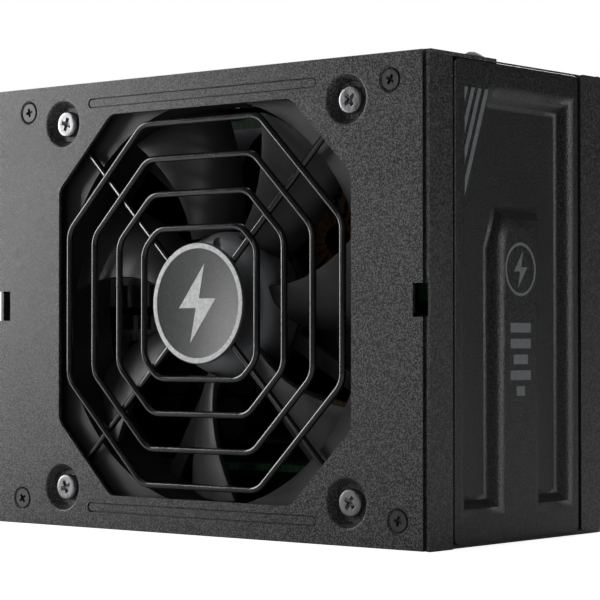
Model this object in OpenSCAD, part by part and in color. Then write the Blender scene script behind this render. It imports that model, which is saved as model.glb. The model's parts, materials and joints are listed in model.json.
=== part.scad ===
// Compact computer power supply: steel case, embossed side panels, 92 mm fan behind a wire grille,
// mains inlet and power switch on the upper end, cable sockets on the lower end.
// Millimetres. X runs along the 125 mm side, the fan faces -Y, and the unit stands on its socket end.

/* [Case] */
// Width of the case, along X
case_w = 125; // [124.5:0.1:126]
// Depth of the case, along Y, from the fan cover to the plain plate
case_d = 63.5; // [63.5:0.1:64.5]
// Height of the case, along Z, from the socket end to the mains end
case_h = 100; // [100:0.1:101]
// Thickness of the sheet steel
sheet = 0.8; // [0.7:0.05:0.9]

/* [Case mounting] */
// Distance of the case screw holes from the edges of the mains end
mount_inset = 6; // [5.8:0.1:6.2]
// Radius of the case screw holes
mount_hole_r = 1.75; // [1.7:0.01:1.8]

/* [Fan] */
// Outer size of the square fan frame
fan_size = 92; // [91:0.5:92]
// Distance between fan screws
fan_pitch = 82.5; // [82.5:0.1:82.8]
// Depth of the fan frame
fan_depth = 15; // [15:0.1:15.4]
// Radius of the hole that the blades turn in
fan_bore_r = 44.2; // [44:0.1:44.4]
// Radius at the blade tips
blade_tip_r = 43.2; // [42:0.1:43.3]
// Number of fan blades
blade_count = 7; // [5:2:9]
// Radius of the fan hub
hub_r = 15.8; // [15.5:0.1:16]
// Radius of the fan shaft
shaft_r = 1.5; // [1.5:0.1:1.6]
// Running clearance of the shaft in its bush
shaft_play = 0.03; // [0.02:0.01:0.08]

/* [Fan cover] */
// Half the size of the eight-sided air opening
opening_half = 42.5; // [42:0.1:42.6]
// Half the length of the opening's straight sides
opening_flat = 26.2; // [26:0.1:26.6]
// Radius of the wire in the grille
wire_r = 0.75; // [0.7:0.05:0.8]
// Radius of the badge in the middle of the grille
badge_r = 13.2; // [12:0.1:13.6]

/* [Side panels] */
// Depth of the pressed channel
emboss_depth = 2.5; // [1:0.1:2.6]
// Width of the channel's sloped walls
emboss_slope = 2.5; // [1.5:0.1:2.6]

/* [Mains end] */
// Centre of the mains inlet along X
inlet_x = 38; // [36:0.5:38]
// Centre of the power switch along X
switch_x = 8; // [7:0.5:9]
// Centre of the inlet and the switch along Y
inlet_y = 4; // [3:0.5:5]
// Angle that the rocker leans to either side
rocker_lean = 8; // [6:1:9]

/* [Hidden] */
front = -case_d / 2;
back = case_d / 2;
side = case_w / 2;
top = case_h;
mid_z = case_h / 2;
play = 0.01;
root_half = sqrt(0.5);
$fn = 48;

// Fan cover
cover_right = side - 1.8;
dimple_depth = 2.3;
dimple_mouth_r = 5;
dimple_floor_r = 3.7;
fan_hole_r = 2.2;
rib_x = 33.2;
rib_inset = 4.7;
rib_half = 1.1;
rib_depth = 0.4;
notch_half = 3.4;
notch_left_w = 3.2;
notch_right_w = 2.5;
cover_screw_top = [52.5, 94.5];
cover_screw_low = [54.4, 5.7];
cover_screws_at = [[-52.5, 94.5], [52.5, 94.5], [-54.4, 5.7], [54.4, 5.7]];
csk_r = 2.75;
csk_depth = 0.75;
tapped_r = 1.25;
tab_w = 11;
tab_end = -7.5;
tab_screw = [3.7, -12];

// Side panels and the strips around them
strip_near = -24;
panel_near = -23.4;
panel_far = 22.1;
strip_far = 23;
panel_low = 0.6;
panel_high = 99.2;
window_y = [-20.6, 20];
window_z = [5.5, 95];

// Heights where the tapped ears behind the cover end, and the width of the flanges between them
ear_low = 10;
ear_high = 90.5;
flange_w = 5;

// Fan
fan_front = front + dimple_depth + sheet;
fan_back = fan_front + fan_depth;
base_y = fan_back - 1.5;
blade_front = front + 5.5;
blade_back = base_y - 0.7;
hub_front = front + 6.5;
bush_r = 2.6;
boss_r = 3.6;
core_r = 11.8;
core_y = [-21.5, -17.9];

// Grille: half size and half straight side of each wire ring
rings = [[39.7, 16.8], [31.8, 15.3], [24, 13.8], [16.4, 12]];
ring_bend = 5;
spoke_end = 52.5;
badge_t = 0.8;

// Mains inlet and switch
inlet_body = [26.8, 19.6];
inlet_flange = [30.7, 23.3];
inlet_cavity = [24.4, 16.6];
inlet_low = top - 18;
inlet_depth = 15;
switch_body = [19.2, 13];
switch_flange = [21, 15];
switch_cavity = [17.4, 11.2];
flange_t = 1.2;
rocker_z = top - 2.5;
rocker_r = 8.5;
rocker_half = 5.3;
rocker_pin_r = 1;

// Boards
board_t = 1.6;
board_back = 26.75;
board_front = board_back - board_t;
board_x = 56;
board_z = [18, 96];
standoff_at = [[-52, 22], [52, 22], [-52, 92], [20, 92]];
socket_board_z = 13;
socket_front = 0.3;
socket_pitch = 4.2;
socket_hole = 3.3;
socket_row_a = 16.5;
socket_row_b = 1;
// Each socket: centre along X, row, columns
main_sockets = [[-36.5, socket_row_a, 9], [-3.5, socket_row_a, 5]];
power_sockets = [[20, socket_row_a, 4], [43, socket_row_a, 4], [-44, socket_row_b, 4], [-21, socket_row_b, 4]];
drive_sockets = [[2, socket_row_b, 3], [22, socket_row_b, 3], [42, socket_row_b, 3]];

// ---- helpers ----

// A shape drawn in X and Z, from y0 to y1
module front_extrude(y0, y1) {
    translate([0, y1, 0]) rotate([90, 0, 0]) linear_extrude(y1 - y0) children();
}

// A shape drawn in Y and Z, from x0 to x1
module side_extrude(x0, x1) {
    translate([x0, 0, 0]) rotate([90, 0, 90]) linear_extrude(x1 - x0) children();
}

// A box given by its lowest and highest corners
module block(low, high) {
    translate(low) cube(high - low);
}

// A round bar along Y from y0 to y1
module rod_y(x, z, r, y0, y1) {
    translate([x, y0, z]) rotate([-90, 0, 0]) cylinder(r = r, h = y1 - y0);
}

// A round bar along Z from z0 to z1
module rod_z(x, y, r, z0, z1) {
    translate([x, y, z0]) cylinder(r = r, h = z1 - z0);
}

// A round bar along X from x0 to x1
module rod_x(y, z, r, x0, x1) {
    translate([x0, y, z]) rotate([0, 90, 0]) cylinder(r = r, h = x1 - x0);
}

// Four copies, one in each quarter turn of the XZ plane about the fan axis
module fan_quarters() {
    for (q = [0:3]) rotate([0, 90 * q, 0]) children();
}

// A rectangle with round corners, from low to high
module rounded_rect(low, high, r) {
    translate([low.x + r, low.y]) square([high.x - low.x - 2 * r, high.y - low.y]);
    translate([low.x, low.y + r]) square([high.x - low.x, high.y - low.y - 2 * r]);
    for (x = [low.x + r, high.x - r], y = [low.y + r, high.y - r]) translate([x, y]) circle(r);
}

// Eight sides with round corners
module rounded_octagon(half, flat, bend) {
    tangent = bend * tan(22.5);
    diagonal = tangent * root_half;
    quarter = [
        [flat - tangent, half], [flat + diagonal, half - diagonal],
        [half - diagonal, flat + diagonal], [half, flat - tangent]
    ];
    polygon([for (q = [0:3]) for (p = quarter)
        [p.x * cos(90 * q) + p.y * sin(90 * q), p.y * cos(90 * q) - p.x * sin(90 * q)]]);
    for (q = [0:3]) rotate(-90 * q) {
        translate([flat - tangent, half - bend]) circle(bend);
        translate([half - bend, flat - tangent]) circle(bend);
    }
}

// ---- case ----

// Outline of the pressed channel, grown outwards by g
module channel_outline(g) {
    polygon([[-19.8 - g, 7.3 - g], [-19.8 - g, 70 + 0.2 * g], [-11.1 - 0.7 * g, 93 + g], [19 + g, 93 + g], [19 + g, 7.3 - g]]);
}

// Outline of the flat island inside the channel, grown outwards by g
module island_outline(g) {
    polygon([[-7 - g, -9], [-7 - g, 60.5 + 0.2 * g], [-4.7 - 0.75 * g, 66.8 + g], [7 + g, 66.8 + g], [7 + g, -9]]);
}

// The hollow of the channel, from x0 outwards, in a panel whose outside is at x = side
module channel_hollow(floor_x) {
    difference() {
        hull() {
            side_extrude(side, side + 1) channel_outline(0);
            side_extrude(floor_x, floor_x + play) channel_outline(-emboss_slope);
        }
        hull() {
            side_extrude(side, side + 2) island_outline(0);
            side_extrude(floor_x - 1, floor_x + play) island_outline(emboss_slope);
        }
    }
}

// A pressed side panel, on the +X side
module side_panel() {
    difference() {
        union() {
            side_extrude(side - sheet, side) rounded_rect([panel_near, panel_low], [panel_far, panel_high], 1.5);
            intersection() {
                translate([-sheet, 0, 0]) channel_hollow(side - emboss_depth);
                block([side - emboss_depth - sheet, panel_near, 0], [side - sheet + play, panel_far, top]);
            }
        }
        channel_hollow(side - emboss_depth);
    }
}

// Steel flange and strips on the +X side of the base shell; near_y is where the near strip starts
module shell_side(near_y) {
    inner = side - sheet;
    side_extrude(inner - sheet, inner) difference() {
        translate([-27, sheet / 2]) square([27 + back - sheet / 2, top - 2 * sheet]);
        translate([window_y[0], window_z[0]])
            square([window_y[1] - window_y[0], window_z[1] - window_z[0]]);
    }
    difference() {
        side_extrude(inner, side) translate([near_y, 0]) square([strip_near - near_y, top - sheet]);
        block([inner - 1, near_y - 1, mid_z - notch_half], [side + 1, near_y + 1.4, mid_z + notch_half]);
    }
    side_extrude(inner, side) rounded_rect([strip_far, sheet], [back, top - 0.3], 0.9);
}

// Vent field of six-sided holes on the mains end, drawn in X and Y
module vent_holes() {
    pitch = 6.6;
    for (row = [-4:4], column = [-9:8]) {
        x = (column + (row % 2 == 0 ? 0 : 0.5)) * pitch;
        y = row * pitch * 0.866;
        beside_tabs = abs(x) < side - tab_w - 5 || y > tab_end + 4;
        beside_holes = abs(x) < side - mount_inset - 5 || abs(y) < back - mount_inset - 5;
        beside_inlet = x < switch_x - 15 || abs(y - inlet_y) > 16.6;
        if (beside_tabs && beside_holes && beside_inlet && abs(x) < side - 6)
            translate([x, y]) circle(r = 3, $fn = 6);
    }
}

// Holes of the lower end that the cable sockets fill, drawn in X and Y
module socket_holes() {
    for (s = concat(main_sockets, power_sockets, drive_sockets))
        translate([s[0], s[1]]) square([s[2] * socket_pitch + 1.9, 2 * socket_pitch + 1.9], center = true);
}

// Screw holes of the mains end, drawn in X and Y
module mount_holes() {
    for (x = [-1, 1], y = [-1, 1])
        translate([x * (side - mount_inset), y * (back - mount_inset)]) circle(mount_hole_r);
}

module base_shell() {
    tab_x = side - tab_w;
    color("#202124") difference() {
        union() {
            // plain plate
            front_extrude(back - sheet, back) translate([-side + sheet, 0]) square([case_w - 2 * sheet, top]);
            // mains end
            translate([0, 0, top - sheet]) linear_extrude(sheet)
                translate([-side + 2.4, front + sheet]) square([case_w - 4.8, case_d - sheet]);
            // socket end
            linear_extrude(sheet)
                translate([-side + sheet, front + sheet]) square([case_w - 2 * sheet, case_d - sheet]);
            shell_side(front);
            mirror([1, 0, 0]) shell_side(front + sheet);
            // lowered corners under the cover's tabs, and the tapped ears behind the cover
            for (m = [0, 1]) mirror([m, 0, 0]) {
                block([tab_x - 1, front + sheet, top - 2 * sheet], [side - sheet, tab_end + 1, top - sheet]);
                block([side - 4, tab_end, top - 2 * sheet], [side - sheet, back - sheet / 2, top - sheet + play]);
                block([47, front + sheet, ear_high], [side - sheet, front + 2 * sheet, top - sheet]);
                block([47, front + sheet, sheet / 2], [side - sheet, front + 2 * sheet, ear_low]);
            }
            // narrow flanges behind the cover's edges, open at its notches
            for (m = [0, 1]) mirror([m, 0, 0])
                for (z = [[ear_low - 1, mid_z - notch_half], [mid_z + notch_half, ear_high + 1]])
                    block([side - flange_w, front + sheet, z[0]], [side - sheet, front + 2 * sheet, z[1]]);
        }
        // room for the cover's tabs
        for (m = [0, 1]) mirror([m, 0, 0])
            block([tab_x - 0.2, front - 1, top - sheet], [side + 1, tab_end + 0.2, top + 1]);
        translate([0, 0, top - 3]) linear_extrude(4) mount_holes();
        translate([0, 0, top - sheet - play]) linear_extrude(sheet + 2 * play) vent_holes();
        block([inlet_x - inlet_body.x / 2, inlet_y - inlet_body.y / 2, top - 2],
              [inlet_x + inlet_body.x / 2, inlet_y + inlet_body.y / 2, top + 1]);
        block([switch_x - switch_body.x / 2, inlet_y - switch_body.y / 2, top - 2],
              [switch_x + switch_body.x / 2, inlet_y + switch_body.y / 2, top + 1]);
        translate([0, 0, -1]) linear_extrude(3) socket_holes();
        for (s = cover_screws_at) rod_y(s[0], s[1], tapped_r, front, front + 4);
        for (m = [0, 1]) mirror([m, 0, 0])
            rod_z(side - tab_screw.x, tab_screw.y, tapped_r, top - 4, top + 1);
    }
}

module right_side_panel() {
    color("#1d1e20") side_panel();
}

module left_side_panel() {
    color("#1d1e20") mirror([1, 0, 0]) side_panel();
}

// ---- fan cover and grille ----

module fan_cover() {
    left = -side;
    color("#2a2b2d") difference() {
        union() {
            front_extrude(front, front + sheet) difference() {
                translate([left, 0]) square([cover_right - left, top]);
                translate([0, mid_z]) rounded_octagon(opening_half, opening_flat, 3);
                translate([left - 1, mid_z - notch_half]) square([notch_left_w + 1, 2 * notch_half]);
                translate([cover_right - notch_right_w, mid_z - notch_half])
                    square([notch_right_w + 1, 2 * notch_half]);
            }
            // cups pressed in round the fan screws
            translate([0, 0, mid_z]) fan_quarters() translate([fan_pitch / 2, front, fan_pitch / 2])
                rotate([-90, 0, 0]) cylinder(r1 = dimple_mouth_r + 0.5, r2 = dimple_floor_r + 0.6, h = dimple_depth + sheet);
            // tabs that lie on the mains end
            for (m = [0, 1]) mirror([m, 0, 0])
                translate([0, 0, top - sheet]) linear_extrude(sheet)
                    rounded_rect([side - tab_w, front], [side, tab_end], 1.5);
            for (m = [0, 1]) mirror([m, 0, 0])
                block([side - tab_w, front, top - sheet], [(m == 0) ? cover_right : side, front + 3, top]);
        }
        translate([0, 0, mid_z]) fan_quarters() translate([fan_pitch / 2, front, fan_pitch / 2]) {
            translate([0, -1, 0]) rotate([-90, 0, 0]) cylinder(r = dimple_mouth_r, h = 1 + play);
            rotate([-90, 0, 0]) cylinder(r1 = dimple_mouth_r, r2 = dimple_floor_r, h = dimple_depth);
            rotate([-90, 0, 0]) cylinder(r = fan_hole_r, h = dimple_depth + 2);
        }
        for (s = cover_screws_at) translate([s[0], front, s[1]]) rotate([-90, 0, 0]) {
            cylinder(r1 = csk_r, r2 = csk_r - csk_depth, h = csk_depth);
            cylinder(r = tapped_r + 0.25, h = 3);
        }
        // long pressed lines above and below the opening
        for (z = [rib_inset, top - rib_inset]) front_extrude(front - 1, front + rib_depth)
            rounded_rect([-rib_x, z - rib_half], [rib_x, z + rib_half], rib_half - play);
        translate([0, 0, top - 2]) linear_extrude(4) mount_holes();
        for (m = [0, 1]) mirror([m, 0, 0])
            rod_z(side - tab_screw.x, tab_screw.y, tapped_r + 0.25, top - 2, top + 1);
    }
}

// A cross recess for a screw head, pointing along +Z into the head
module cross_recess(size, depth) {
    for (a = [0, 90]) rotate(a) translate([-size / 2, -size / 8, -1]) cube([size, size / 4, depth + 1]);
}

module cover_screws() {
    turns = [10, 55, 30, 75];
    color("#3a3b3d") for (i = [0:3]) translate([cover_screws_at[i][0], front, cover_screws_at[i][1]])
        rotate([-90, 0, 0]) difference() {
            union() {
                cylinder(r1 = csk_r - 0.1, r2 = csk_r - 0.1 - csk_depth, h = csk_depth);
                cylinder(r = tapped_r, h = 4.5);
            }
            rotate(turns[i]) cross_recess(2.4, 0.6);
        }
}

module tab_screws() {
    color("#2c2d2f") for (m = [0, 1]) mirror([m, 0, 0])
        translate([side - tab_screw.x, tab_screw.y, top]) difference() {
            union() {
                rod_z(0, 0, tapped_r, -4, 0);
                intersection() {
                    rod_z(0, 0, 2.6, 0, 1.6);
                    translate([0, 0, 1.6 - 2.9]) sphere(2.9);
                }
            }
            translate([0, 0, 1.6]) mirror([0, 0, 1]) rotate(20) cross_recess(2.6, 0.7);
        }
}

// One closed ring of wire with eight sides and round corners
module wire_ring(half, flat) {
    front_extrude(front, front + 2 * wire_r) translate([0, mid_z]) difference() {
        rounded_octagon(half + wire_r, flat, ring_bend + wire_r);
        rounded_octagon(half - wire_r, flat, ring_bend - wire_r);
    }
}

module fan_grille() {
    color("#141415") {
        for (r = rings) wire_ring(r[0], r[1]);
        for (a = [45, 135]) translate([0, 0, mid_z]) rotate([0, a, 0])
            block([-wire_r, front + sheet, -spoke_end], [wire_r, front + sheet + 2 * wire_r, spoke_end]);
    }
}

module grille_badge() {
    color("#3c3d40") difference() {
        rod_y(0, mid_z, badge_r, front, front + badge_t);
        front_extrude(front - 1, front + 0.25) translate([0, mid_z]) difference() {
            circle(badge_r - 1);
            polygon([[2.2, 8], [-5, -1.2], [-0.8, -1.2], [-2.2, -8], [5, 1.2], [0.8, 1.2]]);
        }
    }
}

// ---- fan ----

module fan_screws() {
    turns = [20, 65, 40, 10];
    head_y = front + dimple_depth;
    color("#8d8f92") translate([0, 0, mid_z]) for (q = [0:3]) rotate([0, 90 * q, 0])
        translate([fan_pitch / 2, head_y, fan_pitch / 2]) rotate([-90, 0, 0]) difference() {
            union() {
                translate([0, 0, -1.3]) cylinder(r = 2.9, h = 1.3);
                cylinder(r = 1.95, h = 9);
            }
            translate([0, 0, -1.3]) rotate(turns[q]) cross_recess(3.6, 1);
        }
}

module fan_frame() {
    half = fan_size / 2;
    flange = 3.6;
    color("#18191a") {
        difference() {
            front_extrude(fan_front, fan_back)
                rounded_rect([-half, mid_z - half], [half, mid_z + half], 4);
            rod_y(0, mid_z, fan_bore_r, fan_front - 1, fan_back + 1);
            translate([0, 0, mid_z]) fan_quarters()
                rod_y(fan_pitch / 2, fan_pitch / 2, fan_hole_r - 0.05, fan_front - 1, fan_back + 1);
            difference() {
                block([-half - 1, fan_front + flange, mid_z - half - 1],
                      [half + 1, fan_back - flange, mid_z + half + 1]);
                rod_y(0, mid_z, half + 0.2, fan_front, fan_back);
            }
        }
        // motor base, its boss and the four struts
        difference() {
            union() {
                rod_y(0, mid_z, hub_r + 0.6, base_y, fan_back);
                rod_y(0, mid_z, boss_r, -22.3, fan_back);
                translate([0, 0, mid_z]) for (q = [0:3]) rotate([0, 90 * q + 30, 0])
                    block([hub_r - 1, base_y, -1.8], [fan_bore_r + 0.6, fan_back, 1.8]);
            }
            rod_y(0, mid_z, bush_r, -23, fan_back - 0.6);
        }
    }
}

module fan_bush() {
    color("#b08a4a") difference() {
        rod_y(0, mid_z, bush_r, -22.3, fan_back - 0.6);
        rod_y(0, mid_z, shaft_r + shaft_play, -23, fan_back - 1.2);
    }
}

module fan_stator() {
    color("#7d8084") front_extrude(core_y[0], core_y[1]) translate([0, mid_z]) difference() {
        union() {
            circle(5.4);
            for (a = [0:90:270]) rotate(a) translate([0, -1.3]) square([10.5, 2.6]);
            for (a = [0:90:270]) rotate(a) intersection() {
                difference() {
                    circle(core_r);
                    circle(10.4);
                }
                translate([0, -7]) square([14, 14]);
            }
        }
        circle(boss_r);
    }
}

module fan_coils() {
    color("#b5652a") translate([0, 0, mid_z]) for (q = [0:3]) rotate([0, 90 * q, 0])
        difference() {
            block([5.8, core_y[0] - 1.2, -2.7], [10, core_y[1] + 0.8, 2.7]);
            block([5, core_y[0], -1.3], [11, core_y[1], 1.3]);
        }
}

module fan_board() {
    color("#1f5d3a") difference() {
        rod_y(0, mid_z, 13.2, base_y - 1, base_y);
        rod_y(0, mid_z, boss_r, base_y - 2, base_y + 1);
    }
}

module fan_rotor() {
    color("#151617") {
        difference() {
            union() {
                rod_y(0, mid_z, hub_r, hub_front, blade_back);
                translate([0, (blade_front + blade_back) / 2, mid_z]) rotate([90, 0, 0])
                    intersection() {
                        difference() {
                            cylinder(r = blade_tip_r, h = blade_back - blade_front, center = true, $fn = 96);
                            cylinder(r = hub_r - 0.6, h = 40, center = true);
                        }
                        union() for (i = [0:blade_count - 1]) rotate(i * 360 / blade_count)
                            translate([hub_r + 14, 0, 0]) rotate([30, 0, 0])
                                cube([34, 23, 1.3], center = true);
                    }
            }
            rod_y(0, mid_z, hub_r - 1.2, hub_front + 1.4, blade_back + 1);
            rod_y(0, mid_z + 12, 1.3, hub_front - 1, hub_front + 0.5);
            rod_y(0, mid_z, shaft_r, hub_front + 0.8, hub_front + 2);
        }
        difference() {
            rod_y(0, mid_z, 3.3, hub_front + 1, -23.2);
            rod_y(0, mid_z, shaft_r, hub_front + 0.8, -20);
        }
    }
}

module rotor_cup() {
    color("#6f7276") difference() {
        rod_y(0, mid_z, hub_r - 1.2, hub_front + 1.4, base_y - 1.4);
        rod_y(0, mid_z, hub_r - 1.9, hub_front + 2, base_y);
        rod_y(0, mid_z, 3.3, hub_front, base_y);
    }
}

module rotor_magnet() {
    color("#3a3a3c") difference() {
        rod_y(0, mid_z, hub_r - 1.9, -23, -17.4);
        rod_y(0, mid_z, core_r + 0.6, -24, -17);
    }
}

module fan_shaft() {
    color("#c9ccd0") rod_y(0, mid_z, shaft_r, hub_front + 0.8, fan_back - 1.5);
}

// A plain elbow of wire: out along -Y from the fan, then across to the board
module fan_lead() {
    color("#0f0f10") for (z = [15.4, 17.2]) {
        rod_y(-43.5, z, 0.7, -10.5, 16);
        translate([-43.5, -10.5, z]) sphere(0.7);
        rod_x(-10.5, z, 0.7, -43.5, -38);
        translate([-38, -10.5, z]) sphere(0.7);
        rod_y(-38, z, 0.7, fan_back, -10.5);
    }
}

module fan_plug() {
    color("#e6e2d4") difference() {
        block([-46, 16, socket_board_z + board_t], [-41, 20, 18.4]);
        for (z = [15.4, 17.2]) rod_y(-43.5, z, 0.4, 17, 21);
    }
}

// Clear sheet that steers the air, on the back of the fan
module fan_baffle() {
    color("#30343a") difference() {
        block([-45, fan_back, 62], [-8, fan_back + 0.3, 95]);
        rod_y(0, mid_z, hub_r + 4, fan_back - 1, fan_back + 1);
        for (x = [-38, -20]) rod_y(x, 90, 1.5, fan_back - 1, fan_back + 1);
    }
}

// ---- mains inlet and switch ----

module inlet_outline(size, chamfer) {
    polygon([
        [-size.x / 2, -size.y / 2], [size.x / 2, -size.y / 2], [size.x / 2, size.y / 2 - chamfer],
        [size.x / 2 - chamfer, size.y / 2], [chamfer - size.x / 2, size.y / 2],
        [-size.x / 2, size.y / 2 - chamfer]
    ]);
}

module inlet_housing() {
    color("#1a1a1b") translate([inlet_x, inlet_y, 0]) difference() {
        union() {
            translate([0, 0, top]) linear_extrude(flange_t)
                rounded_rect(-inlet_flange / 2, inlet_flange / 2, 2);
            translate([0, 0, inlet_low]) linear_extrude(top - inlet_low + play)
                square(inlet_body, center = true);
        }
        translate([0, 0, top + flange_t - inlet_depth]) linear_extrude(inlet_depth + 1)
            inlet_outline(inlet_cavity, 5);
        for (p = [[-7, -2.5], [7, -2.5], [0, 2]]) translate([p.x, p.y, inlet_low - 1])
            linear_extrude(8) square([2, 4], center = true);
    }
}

module inlet_pins() {
    color("#c9ccd0") translate([inlet_x, inlet_y, 0]) for (p = [[-7, -2.5], [7, -2.5], [0, 2]])
        translate([p.x, p.y, inlet_low - 4]) linear_extrude(top - 4.4 - inlet_low + 4)
            square([2, 4], center = true);
}

module switch_housing() {
    color("#1a1a1b") translate([switch_x, inlet_y, 0]) difference() {
        union() {
            translate([0, 0, top]) linear_extrude(flange_t)
                rounded_rect(-switch_flange / 2, switch_flange / 2, 1);
            translate([0, 0, top - 16]) linear_extrude(16 + play) square(switch_body, center = true);
        }
        translate([0, 0, top - 11]) linear_extrude(20) square(switch_cavity, center = true);
        rod_y(0, rocker_z, rocker_pin_r + 0.05, -6.2, 6.2);
        for (x = [-5, 5]) translate([x, 0, top - 17]) linear_extrude(8) square([0.8, 4.7], center = true);
    }
}

module switch_terminals() {
    color("#c9ccd0") translate([switch_x, inlet_y, 0]) for (x = [-5, 5])
        translate([x, 0, top - 20]) linear_extrude(9) square([0.8, 4.7], center = true);
}

module power_rocker() {
    color("#101011") translate([switch_x, inlet_y, rocker_z]) rotate([0, rocker_lean, 0]) {
        front_extrude(-rocker_half, rocker_half) intersection() {
            circle(rocker_r);
            polygon([[-9, 4.6], [0, 3.4], [9, 4.6], [8.4, -1], [3, -5], [-3, -5], [-8.4, -1]]);
        }
        rod_y(0, 0, rocker_pin_r, -rocker_half - 0.8, rocker_half + 0.8);
    }
}

// A wire bend: along Z from its terminal at z1 down to z0, then along Y into the board
module mains_wire(x, y, z0, z1) {
    rod_z(x, y, 1.1, z0, z1);
    translate([x, y, z0]) sphere(1.1);
    rod_y(x, z0, 1.1, y, board_front);
}

module mains_wires() {
    color("#7a4a2a") {
        mains_wire(inlet_x - 7, inlet_y - 2.5, 75, inlet_low - 4);
        mains_wire(inlet_x + 7, inlet_y - 2.5, 75, inlet_low - 4);
        mains_wire(inlet_x, inlet_y + 2, 74, inlet_low - 4);
        for (x = [-5, 5]) mains_wire(switch_x + x, inlet_y, 77.5, top - 20);
    }
}

module earth_screw() {
    color("#b9bcc0") {
        rod_y(56, 90, 1.5, board_back + 1, back - sheet);
        rod_y(56, 90, 2.8, board_back + 0.2, board_back + 1.6);
    }
}

// ---- boards and what stands on them ----

module main_board() {
    color("#1e4d33") difference() {
        front_extrude(board_front, board_back) translate([-board_x, board_z[0]])
            square([2 * board_x, board_z[1] - board_z[0]]);
        for (p = standoff_at) rod_y(p[0], p[1], 1.6, board_front - 1, board_back + 1);
        rod_y(56, 90, 4, board_front - 1, board_back + 1);
    }
}

module board_standoffs() {
    color("#c2a35a") for (p = standoff_at) difference() {
        translate([p[0], board_back, p[1]]) rotate([-90, 0, 0])
            cylinder(r = 2.8, h = back - sheet - board_back, $fn = 6);
        rod_y(p[0], p[1], 1.2, board_back - 1, back - sheet - 0.6);
    }
}

module board_screws() {
    color("#c9ccd0") for (p = standoff_at) {
        rod_y(p[0], p[1], 1.2, board_front, back - sheet - 1);
        rod_y(p[0], p[1], 2.6, board_front - 1.5, board_front);
    }
}

module insulating_sheet() {
    color("#d8c27a") difference() {
        front_extrude(back - sheet - 0.4, back - sheet) translate([-57, 17]) square([114, 80]);
        for (p = standoff_at) rod_y(p[0], p[1], 3.2, back - 3, back);
        rod_y(56, 90, 4, back - 3, back);
    }
}

module bulk_capacitor() {
    r = 14.4;
    y = board_front - r - 0.1;
    color("#17181c") {
        rod_x(y, 77.5, r, -54, -12);
        for (z = [75, 80]) rod_x(y, z, 0.6, -13, -9);
        for (z = [75, 80]) rod_y(-9, z, 0.6, y - 0.6, board_front);
    }
}

module output_capacitors() {
    color("#20242c") for (x = [-44:10.5:-22], z = [24, 34])
        rod_y(x, z, 4.8, board_front - (z == 24 ? 20 : 16), board_front);
}

// Two E-shaped halves: a front, a middle and a back leg along X
module transformer_core() {
    color("#3b3c3e") difference() {
        block([-8, -3, 29], [22, 24, 51]);
        block([-3.5, 0.5, 28], [17.5, 6, 52]);
        block([-3.5, 15, 28], [17.5, 20.5, 52]);
        block([6.9, -3.4, 28], [7.1, -2.6, 52]);
    }
}

// Coils on the middle leg, which stand out above and below the core
module transformer_winding() {
    color("#c9a63a") difference() {
        block([-3.3, 0.7, 26.5], [17.3, 20.3, 53.5]);
        block([-4, 5.8, 28.8], [18, 15.2, 51.2]);
    }
}

module pfc_choke_core() {
    color("#4a5a3c") difference() {
        rod_y(4, 65, 9.5, 13, 22);
        rod_y(4, 65, 5, 12, 23);
    }
}

// Turns of thick wire round a ring core, in the XZ plane
module ring_turns(x, z, inner, outer, y0, y1, count, wire) {
    for (i = [0:count - 1]) translate([x, 0, z]) rotate([0, i * 360 / count, 0])
        difference() {
            block([inner - wire, y0 - wire, -wire / 2], [outer + wire, y1 + wire, wire / 2]);
            block([inner, y0, -wire], [outer, y1, wire]);
        }
}

module pfc_choke_winding() {
    color("#b5652a") ring_turns(4, 65, 4.8, 9.7, 12.8, 22.2, 18, 1.2);
}

module filter_core() {
    color("#3a3b3d") difference() {
        rod_y(36, 62, 8.5, 14, 22);
        rod_y(36, 62, 4.6, 13, 23);
    }
}

module filter_winding() {
    color("#a85a28") ring_turns(36, 62, 4.4, 8.7, 13.8, 22.2, 14, 1.2);
}

module filter_capacitors() {
    color("#d9b23c") {
        block([29, 16, 88], [47, board_front, 95]);
        block([22, 15, 76], [28, board_front, 87]);
        rod_y(26, 72, 3.2, 22, board_front);
    }
}

module mains_fuse() {
    color("#d9dde0") {
        rod_z(54, 20, 2.4, 66, 82);
        for (z = [67, 79]) block([51.4, 22, z], [56.6, board_front, z + 2]);
    }
}

module inrush_relay() {
    color("#26364a") block([46, 9, 46], [56, board_front, 61]);
}

module bridge_rectifier() {
    color("#1b1c1e") {
        block([25, 4, 44], [43, 21, 47.6]);
        for (x = [27.5:4.3:41]) block([x, 21, 45.3], [x + 1, board_front, 46.3]);
    }
}

module primary_heatsink() {
    color("#a9adb2") {
        block([-54, -9, 55], [-14, 24, 58]);
        for (x = [-54:5.6:-15]) block([x, -9, 50], [x + 1.4, 19, 55 + play]);
    }
}

module power_transistors() {
    color("#1b1c1e") for (x = [-50:11:-18]) {
        block([x, 6, 58], [x + 10, 21, 62]);
        for (leg = [1.6, 4.6, 7.6]) block([x + leg, 21, 59.5], [x + leg + 0.8, board_front, 60.3]);
    }
}

module secondary_heatsink() {
    color("#a9adb2") {
        block([-54, -7, 42], [-14, 24, 44.6]);
        for (x = [-54:5.6:-15]) block([x, -7, 44.5], [x + 1.4, 16, 48]);
    }
}

module converter_board() {
    color("#1e4d33") block([27, -4, 21], [28.6, board_front, 42]);
}

module converter_chokes() {
    color("#55585c") for (z = [23, 32]) block([28.6, 2, z], [34.6, 14, z + 7.5]);
}

module control_board() {
    color("#1e4d33") block([52, 2, 26], [53.6, board_front, 44]);
}

module standby_transformer() {
    color("#c9a63a") {
        block([38.5, 10, 24], [49.5, board_front, 39]);
    }
}

module socket_board() {
    color("#1e4d33") block([-57, -11, socket_board_z], [57, 24.9, socket_board_z + board_t]);
}

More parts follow.
